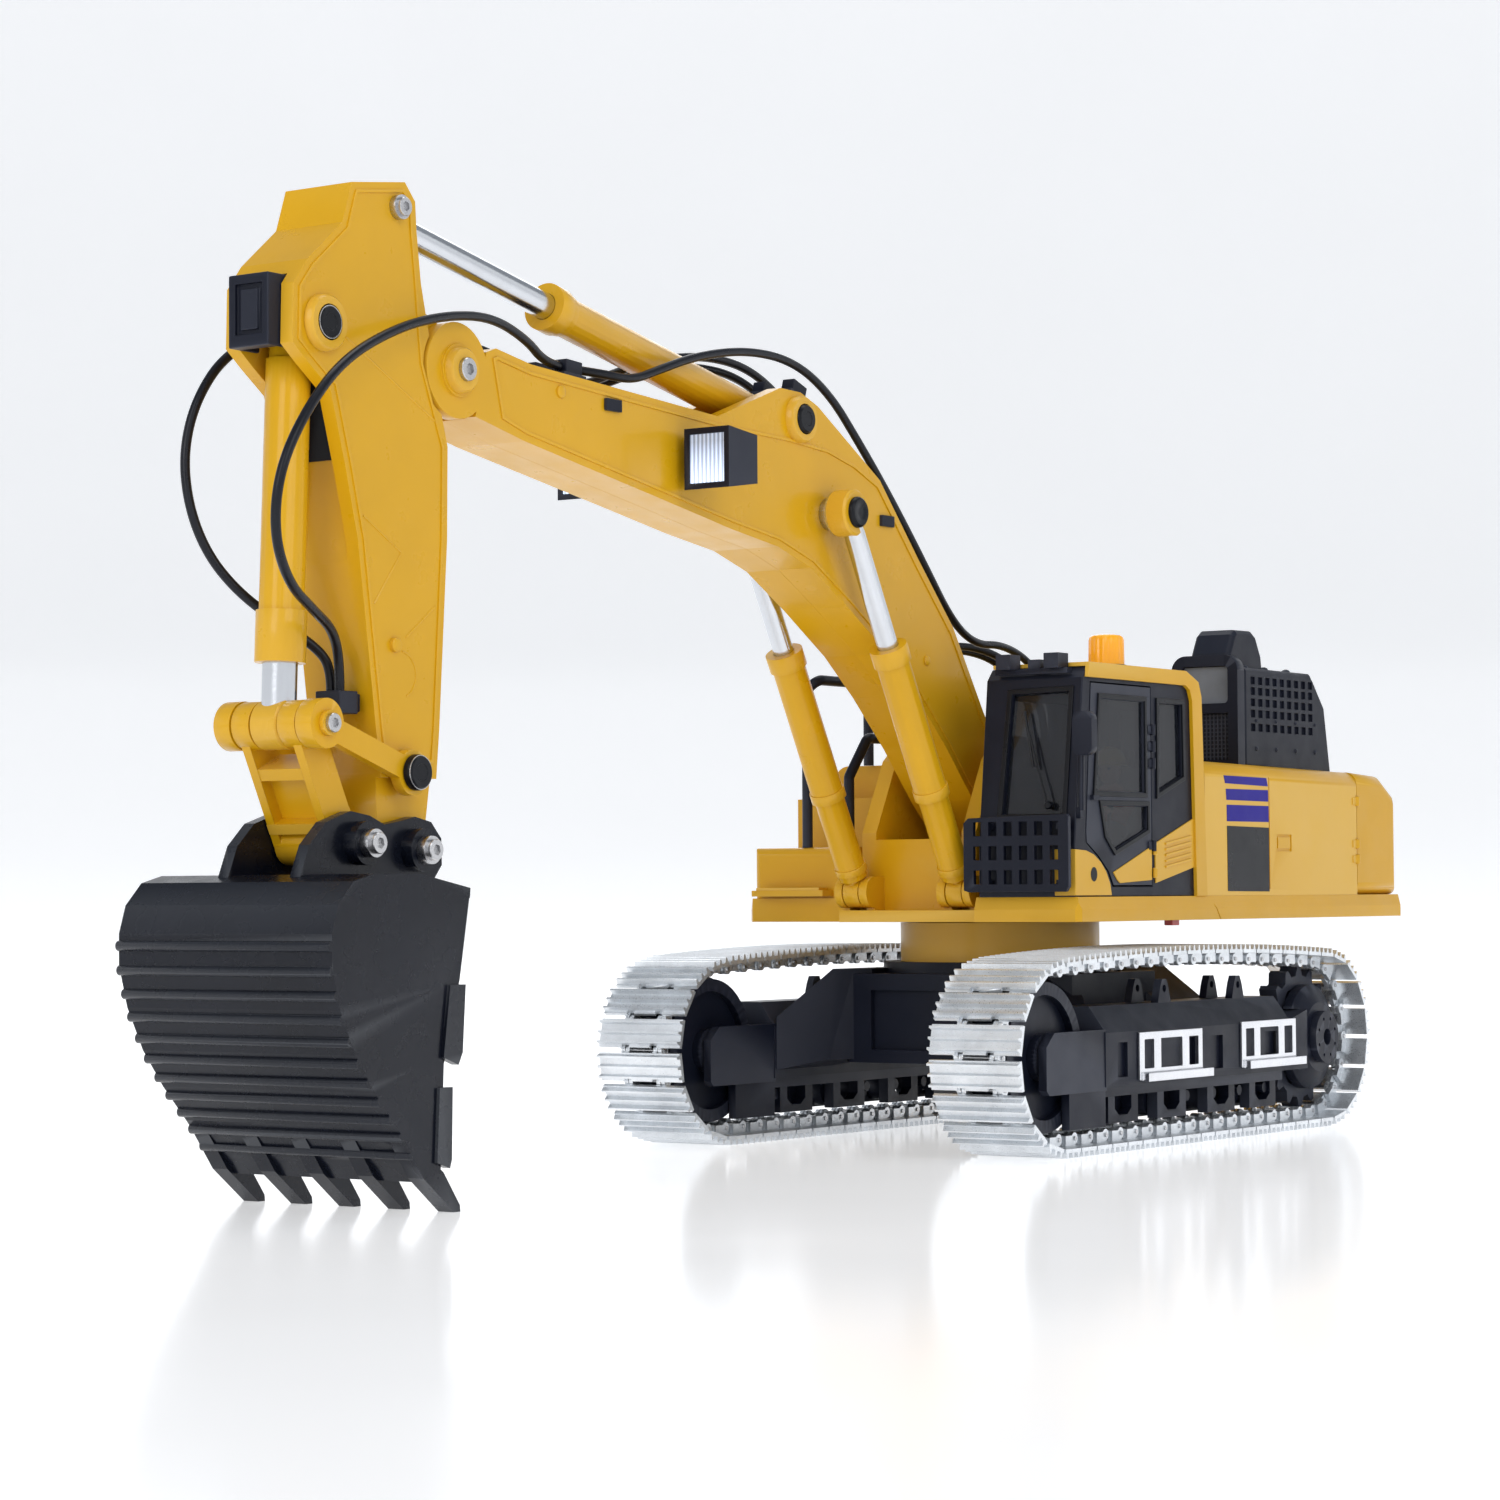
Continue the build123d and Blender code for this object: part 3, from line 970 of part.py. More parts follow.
# ---------------------------------------------------------------- hoses
def hose(points):
    """Round hose through a line of points, every corner rounded as widely as it fits."""
    runs = [Vector(*q) - Vector(*p) for p, q in zip(points, points[1:])]
    radii = []
    for before, after in zip(runs, runs[1:]):
        turn = radians(before.get_angle(after))
        radii.append(0.45 * min(before.length, after.length) / max(sin(turn / 2) / cos(turn / 2), 1e-3))
    path = FilletPolyline(*points, radius=radii)
    solid = sweep(Plane(path @ 0, z_dir=path % 0) * Circle(HOSE_RADIUS), path=path)
    expected = pi * HOSE_RADIUS ** 2 * path.length
    print("hose length", round(path.length, 1), "tightest radius", round(min(radii), 1),
          "volume share", round(solid.volume / expected, 4))
    return solid


LEFT_LOOP = [(230.7, 5.0, 211.5), (237, 5.0, 211.8), (248, 7.8, 216), (266, 11, 219.2), (288, 14.8, 216.8), (312, 18.5, 210.5),
             (337, 22.5, 199.5), (353, 24.5, 185), (361, 24, 171), (360.5, 22, 157), (351, 18, 146.5),
             (337.5, 14, 141.2), (325.4, 9.2, 137.8), (318.6, 5.6, 131.4), (318.6, 5.6, PLUG_TOP)]
RIGHT_LOOP = [(230.7, -5.0, 211.5), (237, -5.0, 211.8), (248, -8, 215.5), (267, -13, 217.4), (289, -17.5, 216), (310, -21, 214),
              (327, -23, 206), (335.5, -25, 194), (338.8, -26, 181), (338.6, -24.5, 168), (336.5, -20.5, 156.5),
              (332.5, -14.5, 147.5), (326, -8, 140.5), (319.2, -0.8, 134), (318.0, 2.4, 129.0),
              (318.0, 2.4, PLUG_TOP)]
BOOM_ROUTE = [(223.2, 211.3), (215, 210.8), (203, 210.6), (191.5, 214.5), (173, 220.6), (149, 225), (126, 224.6),
              (107.5, 217.5), (91.5, 204.5), (75.5, 190.5), (58, 173.5), (40.5, 155.5)]
BOOM_TAIL = [(26, 149.5), (10, 150.5), (-7, 146.5), (-19.5, 137), (-25, 125.5), (-25, GLAND_TOP)]


def hoses():
    """Two slack loops to the plug on the stick, and three hoses from the boom to the house."""
    save("hose_loops", group([hose(LEFT_LOOP), hose(RIGHT_LOOP)]))
    lines = []
    for side, lift, start, tail in ((8.2, 0.0, 5.0, 6.6), (-8.2, 0.0, -3.1, 2.5), (-11.2, -2.6, -6.6, -1.6)):
        points = [(BOOM_ROUTE[0][0], start, BOOM_ROUTE[0][1])]
        for x, z in BOOM_ROUTE[1:]:
            points.append((x, side, z + lift))
        for i, (x, z) in enumerate(BOOM_TAIL):
            share = min(1.0, (i + 1) / 4)
            drop = lift * max(0.0, 1 - (i + 1) / 3)
            points.append((x, side + (tail - side) * share, z + drop))
        lines.append(hose(points))
    save("boom_hoses", group(lines))


# ---------------------------------------------------------------- build
undercarriage()
tracks()
wheels()
deck()
boom_bracket()
engine_body()
right_boxes()
upper_fittings()
cab()
cab_door()
cab_interior()
cab_fittings()
power_switch()
boom()
work_lights()
cable_guides()
boom_cylinders()
stick_cylinder()
bucket_cylinder()
stick()
rocker_links()
h_link()
bucket()
hoses()

SOLID_NODES = [shape for name, shape in SAVED if "hose" not in name]
low_x = min(shape.bounding_box().min.X for shape in SOLID_NODES)
high_x = max(shape.bounding_box().max.X for shape in SOLID_NODES)
ORIGIN_X = (low_x + high_x) / 2

os.makedirs("parts", exist_ok=True)
for name, shape in SAVED:
    export_step(shape.moved(Location((-ORIGIN_X, 0, 0))), "parts/" + name + ".step")
print("origin moved by", round(-ORIGIN_X, 3), "nodes", len(SAVED))
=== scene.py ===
"""Looks of the rc excavator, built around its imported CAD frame. Lengths in helpers are millimetres."""
import json
import math

import bmesh
import bpy
from mathutils import Matrix, Vector


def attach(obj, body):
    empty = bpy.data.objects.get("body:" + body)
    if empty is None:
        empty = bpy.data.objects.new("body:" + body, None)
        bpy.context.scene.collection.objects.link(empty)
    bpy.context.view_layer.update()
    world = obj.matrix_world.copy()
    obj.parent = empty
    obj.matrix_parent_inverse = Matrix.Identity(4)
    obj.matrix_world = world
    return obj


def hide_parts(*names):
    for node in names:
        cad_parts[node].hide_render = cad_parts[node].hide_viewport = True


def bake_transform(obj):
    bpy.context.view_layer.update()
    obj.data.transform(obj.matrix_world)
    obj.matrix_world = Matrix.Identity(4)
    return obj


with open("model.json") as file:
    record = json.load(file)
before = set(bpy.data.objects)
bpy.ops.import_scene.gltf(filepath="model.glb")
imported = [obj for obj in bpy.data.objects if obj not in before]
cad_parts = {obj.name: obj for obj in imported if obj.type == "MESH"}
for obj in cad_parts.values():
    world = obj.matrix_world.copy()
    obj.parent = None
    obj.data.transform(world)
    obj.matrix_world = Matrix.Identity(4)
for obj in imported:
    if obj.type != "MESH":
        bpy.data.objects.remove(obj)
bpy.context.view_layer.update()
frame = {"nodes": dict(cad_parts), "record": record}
nodes = frame["nodes"]

ORIGIN_X = 95.825     # distance in mm from the slew axis to the frame's origin
MM = 0.001            # metres in a millimetre
SHARP_ANGLE = math.radians(38)    # edges above this are shaded sharp
BEVEL_ANGLE = math.radians(35)    # edges above this are rounded
WELD_GAP = 0.000002               # metres between points that are taken as one


def pt(x, y, z):
    """Point of the frame, in metres, from design coordinates in mm."""
    return Vector(((x - ORIGIN_X) * MM, y * MM, z * MM))


# ------------------------------------------------------------ camera
# solved from the photograph: lens and sensor width in mm, then the camera's axes and its place in metres
LENS = 89.515
SENSOR = 36.0
RIGHT = (-0.563712, 0.825948, -0.006168)
UP = (0.028322, 0.026792, 0.99924)
BACK = (0.825486, 0.563109, -0.038495)
EYE = (0.90234, 0.58769, 0.0745)

camera_data = bpy.data.cameras.new("camera")
camera_data.lens = LENS
camera_data.sensor_width = SENSOR
camera_data.clip_start = 0.01
camera = bpy.data.objects.new("camera", camera_data)
bpy.context.scene.collection.objects.link(camera)
camera.matrix_world = Matrix([[RIGHT[i], UP[i], BACK[i], EYE[i]] for i in range(3)] + [[0, 0, 0, 1]])
bpy.context.scene.camera = camera
bpy.context.scene.view_settings.view_transform = "Standard"


# ------------------------------------------------------------ materials
class Shader:
    """Small helper that builds one Principled material from noise fields in object space."""

    def __init__(self, name):
        self.material = bpy.data.materials.new(name)
        self.material.use_nodes = True
        self.tree = self.material.node_tree
        self.surface = self.tree.nodes["Principled BSDF"]
        self.coords = self.tree.nodes.new("ShaderNodeTexCoord").outputs["Object"]

    def node(self, kind, **inputs):
        made = self.tree.nodes.new(kind)
        for key, value in inputs.items():
            socket = made.inputs[key.replace("_", " ")]
            if isinstance(value, bpy.types.NodeSocket):
                self.tree.links.new(value, socket)
            else:
                socket.default_value = value
        return made

    def stretch(self, scale):
        made = self.node("ShaderNodeMapping", Vector=self.coords)
        made.inputs["Scale"].default_value = scale
        return made.outputs["Vector"]

    def noise(self, scale, detail=3.0, vector=None, rough=0.5):
        made = self.node("ShaderNodeTexNoise", Vector=vector or self.coords, Scale=scale, Detail=detail,
                         Roughness=rough)
        return made.outputs["Fac"]

    def remap(self, value, low, high, start=0.3, end=0.7):
        made = self.node("ShaderNodeMapRange", Value=value)
        made.inputs["From Min"].default_value = start
        made.inputs["From Max"].default_value = end
        made.inputs["To Min"].default_value = low
        made.inputs["To Max"].default_value = high
        return made.outputs["Result"]

    def ramp(self, value, stops):
        made = self.node("ShaderNodeValToRGB", Fac=value)
        line = made.color_ramp.elements
        line[0].position, line[0].color = stops[0][0], (*stops[0][1], 1)
        line[1].position, line[1].color = stops[-1][0], (*stops[-1][1], 1)
        for position, color in stops[1:-1]:
            line.new(position).color = (*color, 1)
        return made.outputs["Color"]

    def bump(self, height, strength, distance, before=None):
        made = self.node("ShaderNodeBump", Height=height, Strength=strength)
        made.inputs["Distance"].default_value = distance
        if before is not None:
            self.tree.links.new(before, made.inputs["Normal"])
        return made.outputs["Normal"]

    def set(self, name, value):
        socket = self.surface.inputs[name]
        if isinstance(value, bpy.types.NodeSocket):
            self.tree.links.new(value, socket)
        else:
            socket.default_value = value


def shade(color, factor):
    return tuple(min(1.0, c * factor) for c in color)


def coat_material(name, color, rough=(0.3, 0.42), spread=0.07, metallic=0.0, grain=2600.0, grain_depth=0.12,
                  coat=0.0, specular=0.5, edge_highlight=None):
    """Painted or moulded surface: colour drift, uneven gloss, fine skin, and a painted highlight that lightens the
    convex edges towards a paler tint.
    """
    s = Shader(name)
    drift = s.noise(38.0, 5.0)
    base = s.ramp(drift, [(0.3, shade(color, 1 - spread)), (0.5, color), (0.72, shade(color, 1 + spread))])
    # painted highlight: where the surface is convex (high pointiness) the colour is mixed towards a paler tint of
    # itself, standing in for light caught on the edges
    if edge_highlight is not None:
        edge = s.node("ShaderNodeNewGeometry").outputs["Pointiness"]
        edge_highlight_mask = s.remap(edge, 0.0, 0.7, 0.53, 0.60)
        mix = s.node("ShaderNodeMix")
        mix.data_type = "RGBA"
        s.tree.links.new(edge_highlight_mask, mix.inputs["Factor"])
        s.tree.links.new(base, mix.inputs["A"])
        mix.inputs["B"].default_value = (*edge_highlight, 1)
        base = mix.outputs["Result"]
    s.set("Base Color", base)
    s.set("Roughness", s.remap(s.noise(120.0, 4.0), rough[0], rough[1]))
    s.set("Metallic", metallic)
    s.set("Specular IOR Level", specular)
    s.set("Coat Weight", coat)
    s.set("Coat Roughness", 0.08)
    fine = s.bump(s.noise(grain, 2.0), grain_depth, 0.00008)
    s.set("Normal", s.bump(s.noise(60.0, 2.0), 0.10, 0.0006, fine))
    return s.material


def metal_material(name, color, rough=(0.2, 0.38), stretch=(60, 60, 60), streak=30.0, depth=0.10, spread=0.12,
                   metallic=1.0):
    """Bare or plated metal with brushed streaks and small blotches."""
    s = Shader(name)
    blotch = s.noise(90.0, 5.0, rough=0.65)
    stops = [(0.3, shade(color, 1 - spread)), (0.55, color), (0.75, shade(color, 1 + spread))]
    s.set("Base Color", s.ramp(blotch, stops))
    lines = s.noise(streak, 4.0, s.stretch(stretch))
    s.set("Roughness", s.remap(lines, rough[0], rough[1]))
    s.set("Metallic", metallic)
    s.set("Normal", s.bump(lines, depth, 0.0002))
    return s.material


def glass_material(name, color, alpha, rough=0.04, emission=None, strength=0.0):
    """Thin clear part: tinted, glossy, with faint smears."""
    s = Shader(name)
    smear = s.noise(25.0, 4.0, s.stretch((1, 1, 3)))
    s.set("Base Color", s.ramp(smear, [(0.3, shade(color, 0.9)), (0.7, shade(color, 1.1))]))
    s.set("Roughness", s.remap(smear, rough, rough + 0.05))
    s.set("Alpha", alpha)
    s.set("Specular IOR Level", 0.5)
    if emission:
        s.set("Emission Color", (*emission, 1))
        s.set("Emission Strength", strength)
    return s.material


LENS_BOTTOM, LENS_TOP = 0.1848, 0.1950     # heights in metres between which the lamps' glow fades


def lamp_material():
    """Ribbed lens, dim at the top and lit from its lower edge."""
    s = Shader("lamp_lens")
    parts = s.node("ShaderNodeSeparateXYZ", Vector=s.coords)
    glow = s.remap(parts.outputs["Z"], 1.6, 0.35, LENS_BOTTOM, LENS_TOP)
    wave = s.node("ShaderNodeTexWave", Vector=s.coords, Scale=240.0, Distortion=0.4)
    wave.bands_direction = "Y"
    mixed = s.node("ShaderNodeMath")
    mixed.operation = "MULTIPLY"
    s.tree.links.new(glow, mixed.inputs[0])
    s.tree.links.new(s.remap(wave.outputs["Fac"], 0.55, 1.0, 0.0, 1.0), mixed.inputs[1])
    s.set("Base Color", s.ramp(wave.outputs["Fac"], [(0.2, (0.16, 0.19, 0.25)), (0.8, (0.42, 0.48, 0.58))]))
    s.set("Roughness", s.remap(s.noise(200.0), 0.08, 0.16))
    s.set("Emission Color", (0.62, 0.74, 1.0, 1.0))
    s.set("Emission Strength", mixed.outputs["Value"])
    s.set("Normal", s.bump(wave.outputs["Fac"], 0.5, 0.0003))
    return s.material


YELLOW = (0.69, 0.37, 0.005)
NAVY = (0.0075, 0.0095, 0.0190)
# one material for each slot of the record
# the paler edge tints given to coat_material below are painted highlight on convex edges
mats = {
    "yellow_paint": coat_material("yellow_paint", YELLOW, (0.26, 0.38), 0.04, grain_depth=0.06, coat=0.15,
                                  specular=0.3, edge_highlight=(0.76, 0.46, 0.07)),
    "yellow_plastic": coat_material("yellow_plastic", (0.66, 0.35, 0.006), (0.28, 0.40), 0.04, grain_depth=0.09,
                                    coat=0.08, specular=0.3, edge_highlight=(0.76, 0.47, 0.08)),
    "black_paint": coat_material("black_paint", (0.005, 0.0065, 0.0125), (0.22, 0.34), 0.2, grain_depth=0.10,
                                 coat=0.12, specular=0.2, edge_highlight=(0.07, 0.075, 0.085)),
    "black_plastic": coat_material("black_plastic", NAVY, (0.32, 0.46), 0.15, grain_depth=0.22, specular=0.2,
                                   edge_highlight=(0.05, 0.055, 0.075)),
    "track_zinc": metal_material("track_zinc", (0.80, 0.83, 0.86), (0.24, 0.42), (160, 160, 160), 20.0, 0.20, 0.14,
                                 metallic=0.8),
    "chrome_trim": metal_material("chrome_trim", (0.72, 0.73, 0.76), (0.10, 0.24), (400, 40, 40), 12.0, 0.12,
                                  0.06),
    "rod_steel": metal_material("rod_steel", (0.66, 0.68, 0.71), (0.14, 0.26), (40, 40, 700), 10.0, 0.05, 0.05),
    "bolt_steel": metal_material("bolt_steel", (0.56, 0.56, 0.57), (0.22, 0.36), (300, 300, 300), 14.0, 0.10, 0.1),
    "clear_glass": glass_material("clear_glass", (0.012, 0.014, 0.020), 0.62),
    "lamp_lens": lamp_material(),
    "amber_lens": glass_material("amber_lens", (0.95, 0.42, 0.01), 0.9, 0.10, (1.0, 0.38, 0.0), 0.18),
    "red_plastic": coat_material("red_plastic", (0.55, 0.025, 0.018), (0.25, 0.4), 0.08, coat=0.3),
    "figure_plastic": coat_material("figure_plastic", (0.56, 0.10, 0.03), (0.45, 0.6), 0.15),
    "board_green": coat_material("board_green", (0.02, 0.16, 0.05), (0.35, 0.5), 0.2),
    "hose_rubber": coat_material("hose_rubber", (0.007, 0.008, 0.0125), (0.24, 0.36), 0.25, grain=900.0,
                                 grain_depth=0.15, specular=0.25),
}
# colours of single pieces
blue = coat_material("stripe_blue", (0.018, 0.010, 0.25), (0.34, 0.46), 0.06, specular=0.15)
helmet_yellow = coat_material("helmet_yellow", (0.72, 0.52, 0.03), (0.25, 0.35), 0.05)
skin = coat_material("figure_skin", (0.62, 0.34, 0.22), (0.45, 0.6), 0.06)
trousers = coat_material("figure_blue", (0.03, 0.05, 0.12), (0.5, 0.7), 0.15)
screen_grey = coat_material("screen_grey", (0.16, 0.175, 0.20), (0.4, 0.6), 0.5, grain=700.0, grain_depth=0.4)
cap_black = coat_material("cap_black", (0.006, 0.007, 0.010), (0.26, 0.38), 0.2, specular=0.2)

for name, obj in nodes.items():
    slot_name = next(row["material_slot"] for row in frame["record"]["subparts"] if row["node"] == name)
    for used in obj.material_slots:
        used.material = mats[slot_name]


# ------------------------------------------------------------ mesh building
class Geo:
    """Collects faces in design coordinates and turns them into one piece."""

    def __init__(self):
        self.verts, self.faces, self.tags = [], [], []

    def add(self, verts, faces, tag=0):
        """Takes in faces; tag is the number of their material."""
        base = len(self.verts)
        self.verts += [tuple(v) for v in verts]
        for face in faces:
            self.faces.append([base + i for i in face])
            self.tags.append(tag)
        return self

    def add_rings(self, verts, steps, tag=0):
        """Takes in a closed skin of rings of points, one after another, with flat ends."""
        faces = []
        last = len(verts) // steps - 1
        for k in range(last):
            for i in range(steps):
                j = (i + 1) % steps
                faces.append([k * steps + i, k * steps + j, (k + 1) * steps + j, (k + 1) * steps + i])
        faces.append(list(range(steps - 1, -1, -1)))
        faces.append([last * steps + i for i in range(steps)])
        return self.add(verts, faces, tag)

    def prism(self, plane, outline, low, high, tag=0):
        """Straight prism on an outline in the named plane."""
        place = {"xz": lambda u, v, w: (u, w, v), "yz": lambda u, v, w: (w, u, v),
                 "xy": lambda u, v, w: (u, v, w)}[plane]
        n = len(outline)
        verts = [place(u, v, low) for u, v in outline] + [place(u, v, high) for u, v in outline]
        faces = [list(range(n)), list(range(2 * n - 1, n - 1, -1))]
        faces += [[i, (i + 1) % n, n + (i + 1) % n, n + i] for i in range(n)]
        return self.add(verts, faces, tag)

    def block(self, x0, x1, y0, y1, z0, z1, tag=0):
        return self.prism("xy", [(x0, y0), (x1, y0), (x1, y1), (x0, y1)], z0, z1, tag)

    def lathe(self, centre, axis, profile, steps=28, tag=0, shape=None):
        """Rings of (radius, height) about an axis through centre; shape may vary the radius round a ring."""
        axis = Vector(axis).normalized()
        side = axis.orthogonal().normalized()
        up = axis.cross(side)
        verts = []
        for k, (radius, height) in enumerate(profile):
            middle = Vector(centre) + axis * height
            for i in range(steps):
                angle = 2 * math.pi * i / steps
                r = shape(angle, radius, k) if shape else radius
                verts.append(middle + side * (r * math.cos(angle)) + up * (r * math.sin(angle)))
        return self.add_rings(verts, steps, tag)

    def tube(self, points, radius, steps=10, tag=0):
        """Round bar along the points."""
        points = [Vector(p) for p in points]
        normal = (points[1] - points[0]).orthogonal().normalized()
        verts = []
        for k, p in enumerate(points):
            ahead = points[min(k + 1, len(points) - 1)] - points[max(k - 1, 0)]
            ahead.normalize()
            normal = (normal - ahead * normal.dot(ahead)).normalized()
            other = ahead.cross(normal)
            for i in range(steps):
                a = 2 * math.pi * i / steps
                verts.append(p + normal * (radius * math.cos(a)) + other * (radius * math.sin(a)))
        return self.add_rings(verts, steps, tag)

    def band(self, outline, inset, half, y0, y1):
        """Strip of rectangular section that follows a closed XZ outline at a distance inside it."""
        n = len(outline)
        area = sum(a[0] * b[1] - b[0] * a[1] for a, b in zip(outline, outline[1:] + outline[:1]))
        sign = 1 if area > 0 else -1

        def moved(distance):
            out = []
            for i in range(n):
                a, b, c = outline[i - 1], outline[i], outline[(i + 1) % n]
                d1 = Vector((b[0] - a[0], b[1] - a[1])).normalized()
                d2 = Vector((c[0] - b[0], c[1] - b[1])).normalized()
                n1, n2 = Vector((-d1.y, d1.x)), Vector((-d2.y, d2.x))
                mitre = n1 + n2
                mitre = mitre.normalized() / max(0.5, mitre.normalized().dot(n1))
                out.append((b[0] + sign * mitre.x * distance, b[1] + sign * mitre.y * distance))
            return out

        outer, inner = moved(inset - half), moved(inset + half)
        verts = []
        for ring, y in ((outer, y0), (inner, y0), (inner, y1), (outer, y1)):
            verts += [(u, y, v) for u, v in ring]
        faces = []
        for i in range(n):
            j = (i + 1) % n
            for ring in range(4):
                nxt = (ring + 1) % 4
                faces.append([ring * n + i, ring * n + j, nxt * n + j, nxt * n + i])
        return self.add(verts, faces)

    def mirrored(self):
        """Adds the mirror image across the centre plane."""
        base = len(self.verts)
        self.verts += [(x, -y, z) for x, y, z in self.verts]
        for k in range(len(self.faces)):
            self.faces.append([base + i for i in reversed(self.faces[k])])
            self.tags.append(self.tags[k])
        return self

    def build(self, name, body, slots, slot, bevel=0.0):
        """Makes the piece; body None leaves it free; slot is not used."""
        mesh = bpy.data.meshes.new(name)
        mesh.from_pydata([pt(*v) for v in self.verts], [], self.faces)
        mesh.validate()
        work = bmesh.new()
        work.from_mesh(mesh)
        bmesh.ops.recalc_face_normals(work, faces=work.faces)
        work.to_mesh(mesh)
        work.free()
        for material in slots:
            mesh.materials.append(material)
        for poly, tag in zip(mesh.polygons, self.tags):
            poly.material_index = tag
            poly.use_smooth = True
        mesh.set_sharp_from_angle(angle=SHARP_ANGLE)
        obj = bpy.data.objects.new(name, mesh)
        bpy.context.scene.collection.objects.link(obj)
        if bevel:
            soften(obj, bevel)
        if body is not None:
            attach(obj, body)
        return obj


def soften(obj, width):
    """Rounds the hard edges with a modifier; width in mm."""
    edge = obj.modifiers.new("edge", "BEVEL")
    edge.width = width * MM
    edge.segments = 2
    edge.limit_method = "ANGLE"
    edge.angle_limit = BEVEL_ANGLE
    edge.harden_normals = True
    edge.use_clamp_overlap = True


# ------------------------------------------------------------ hoses
HOSE_DIAMETER = 2.4
HOSE_SIDES = 16
# control points of the routes: the loops in X, Y, Z; the boom hoses' common route in X, Z
LEFT_LOOP = [(230.7, 5.0, 211.5), (237, 5.0, 211.8), (248, 7.8, 216), (266, 11, 219.2), (288, 14.8, 216.8),
             (312, 18.5, 210.5), (337, 22.5, 199.5), (353, 24.5, 185), (361, 24, 171), (360.5, 22, 157),
             (351, 18, 146.5), (337.5, 14, 141.2), (325.4, 9.2, 137.8), (318.6, 5.6, 131.4), (318.6, 5.6, 123.5)]
RIGHT_LOOP = [(230.7, -5.0, 211.5), (237, -5.0, 211.8), (248, -8, 215.5), (267, -13, 217.4), (289, -17.5, 216),
              (310, -21, 214), (327, -23, 206), (335.5, -25, 194), (338.8, -26, 181), (338.6, -24.5, 168),
              (336.5, -20.5, 156.5), (332.5, -14.5, 147.5), (326, -8, 140.5), (319.2, -0.8, 134),
              (318.0, 2.4, 129.0), (318.0, 2.4, 123.5)]
BOOM_ROUTE = [(223.2, 211.3), (215, 210.8), (203, 210.6), (191.5, 214.5), (173, 220.6), (149, 225), (126, 224.6),
              (107.5, 217.5), (91.5, 204.5), (75.5, 190.5), (58, 173.5), (40.5, 155.5)]
BOOM_TAIL = [(26, 149.5), (10, 150.5), (-7, 146.5), (-19.5, 137), (-25, 125.5), (-25, 117.4)]
# each boom hose: Y along the boom, lift over the route, Y at the saddle, Y at the gland
BOOM_HOSES = [(8.2, 0.0, 5.0, 6.6), (-8.2, 0.0, -3.1, 2.5), (-11.2, -2.6, -6.6, -1.6)]


def boom_line(side, lift, start, tail):
    """Control points of one boom hose, from the saddle near the tip back to the gland."""
    points = [(BOOM_ROUTE[0][0], start, BOOM_ROUTE[0][1])]
    points += [(x, side, z + lift) for x, z in BOOM_ROUTE[1:]]
    for i, (x, z) in enumerate(BOOM_TAIL):
        points.append((x, side + (tail - side) * min(1.0, (i + 1) / 4), z + lift * max(0.0, 1 - (i + 1) / 3)))
    return points


def centre_line(points):
    """Points of the smooth line that the route's points control."""
    curve = bpy.data.curves.new("route", "CURVE")
    curve.dimensions = "3D"
    spline = curve.splines.new("NURBS")
    spline.points.add(len(points) - 1)
    for k, p in enumerate(points):
        spline.points[k].co = (*pt(*p), 1)
    spline.order_u = 3
    spline.use_endpoint_u = True
    spline.resolution_u = 14
    holder = bpy.data.objects.new("route", curve)
    bpy.context.scene.collection.objects.link(holder)
    mesh = bpy.data.meshes.new_from_object(holder)
    line = [v.co.copy() for v in mesh.vertices]
    bpy.data.objects.remove(holder)
    bpy.data.meshes.remove(mesh)
    bpy.data.curves.remove(curve)
    if (line[0] - pt(*points[0])).length > (line[-1] - pt(*points[0])).length:
        line.reverse()
    return line


def hose(name, points, node):
    """One hose along the route, left free of the bodies, that stands for the CAD node and hides it."""
    line = centre_line(points)
    flat = [(p.x / MM + ORIGIN_X, p.y / MM, p.z / MM) for p in line]
    obj = Geo().tube(flat, HOSE_DIAMETER / 2, HOSE_SIDES).build(name, None, [mats["hose_rubber"]], "hose_rubber")
    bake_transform(obj)
    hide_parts(node)


for name, route in (("hose_loop_left", LEFT_LOOP), ("hose_loop_right", RIGHT_LOOP)):
    hose(name, route, "hose_loops")
for number, values in enumerate(BOOM_HOSES, 1):
    hose(f"boom_hose_{number}", boom_line(*values)[::-1],
         "boom_hoses")


# ------------------------------------------------------------ softened CAD edges
for name, width in (("deck", 0.45), ("engine_body", 0.35), ("counterweight", 0.5), ("right_boxes", 0.4),
                    ("cab_shell", 0.4), ("cab_roof", 0.45), ("cab_door", 0.3), ("boom_bracket", 0.35),
                    ("boom_left_shell", 0.4), ("boom_right_shell", 0.4), ("stick_shell", 0.4),
                    ("bucket_shell", 0.45), ("hood_grille", 0.3), ("intake_frame", 0.4), ("exhaust_cap", 0.6),
                    ("front_guard", 0.35), ("work_lights", 0.5), ("cab_fittings", 0.4), ("carbody", 0.4),
                    ("track_frame_left", 0.35), ("track_frame_right", 0.35), ("rocker_links", 0.3),
                    ("h_link", 0.3), ("stick_covers", 0.35), ("valve_block", 0.3), ("cable_guides", 0.25),
                    ("power_switch", 0.3),
                    ("boom_barrel_left", 0.3), ("boom_barrel_right", 0.3), ("stick_barrel", 0.3),
                    ("bucket_barrel", 0.3), ("final_drives", 0.3), ("track_shoes_left", 0.22),
                    ("track_shoes_right", 0.22), ("step_plates", 0.25), ("boom_pins", 0.2), ("stick_pins", 0.2),
                    ("bucket_pins", 0.2), ("seat", 1.2)):
    weld = nodes[name].modifiers.new("weld", "WELD")
    weld.merge_threshold = WELD_GAP
    soften(nodes[name], width)


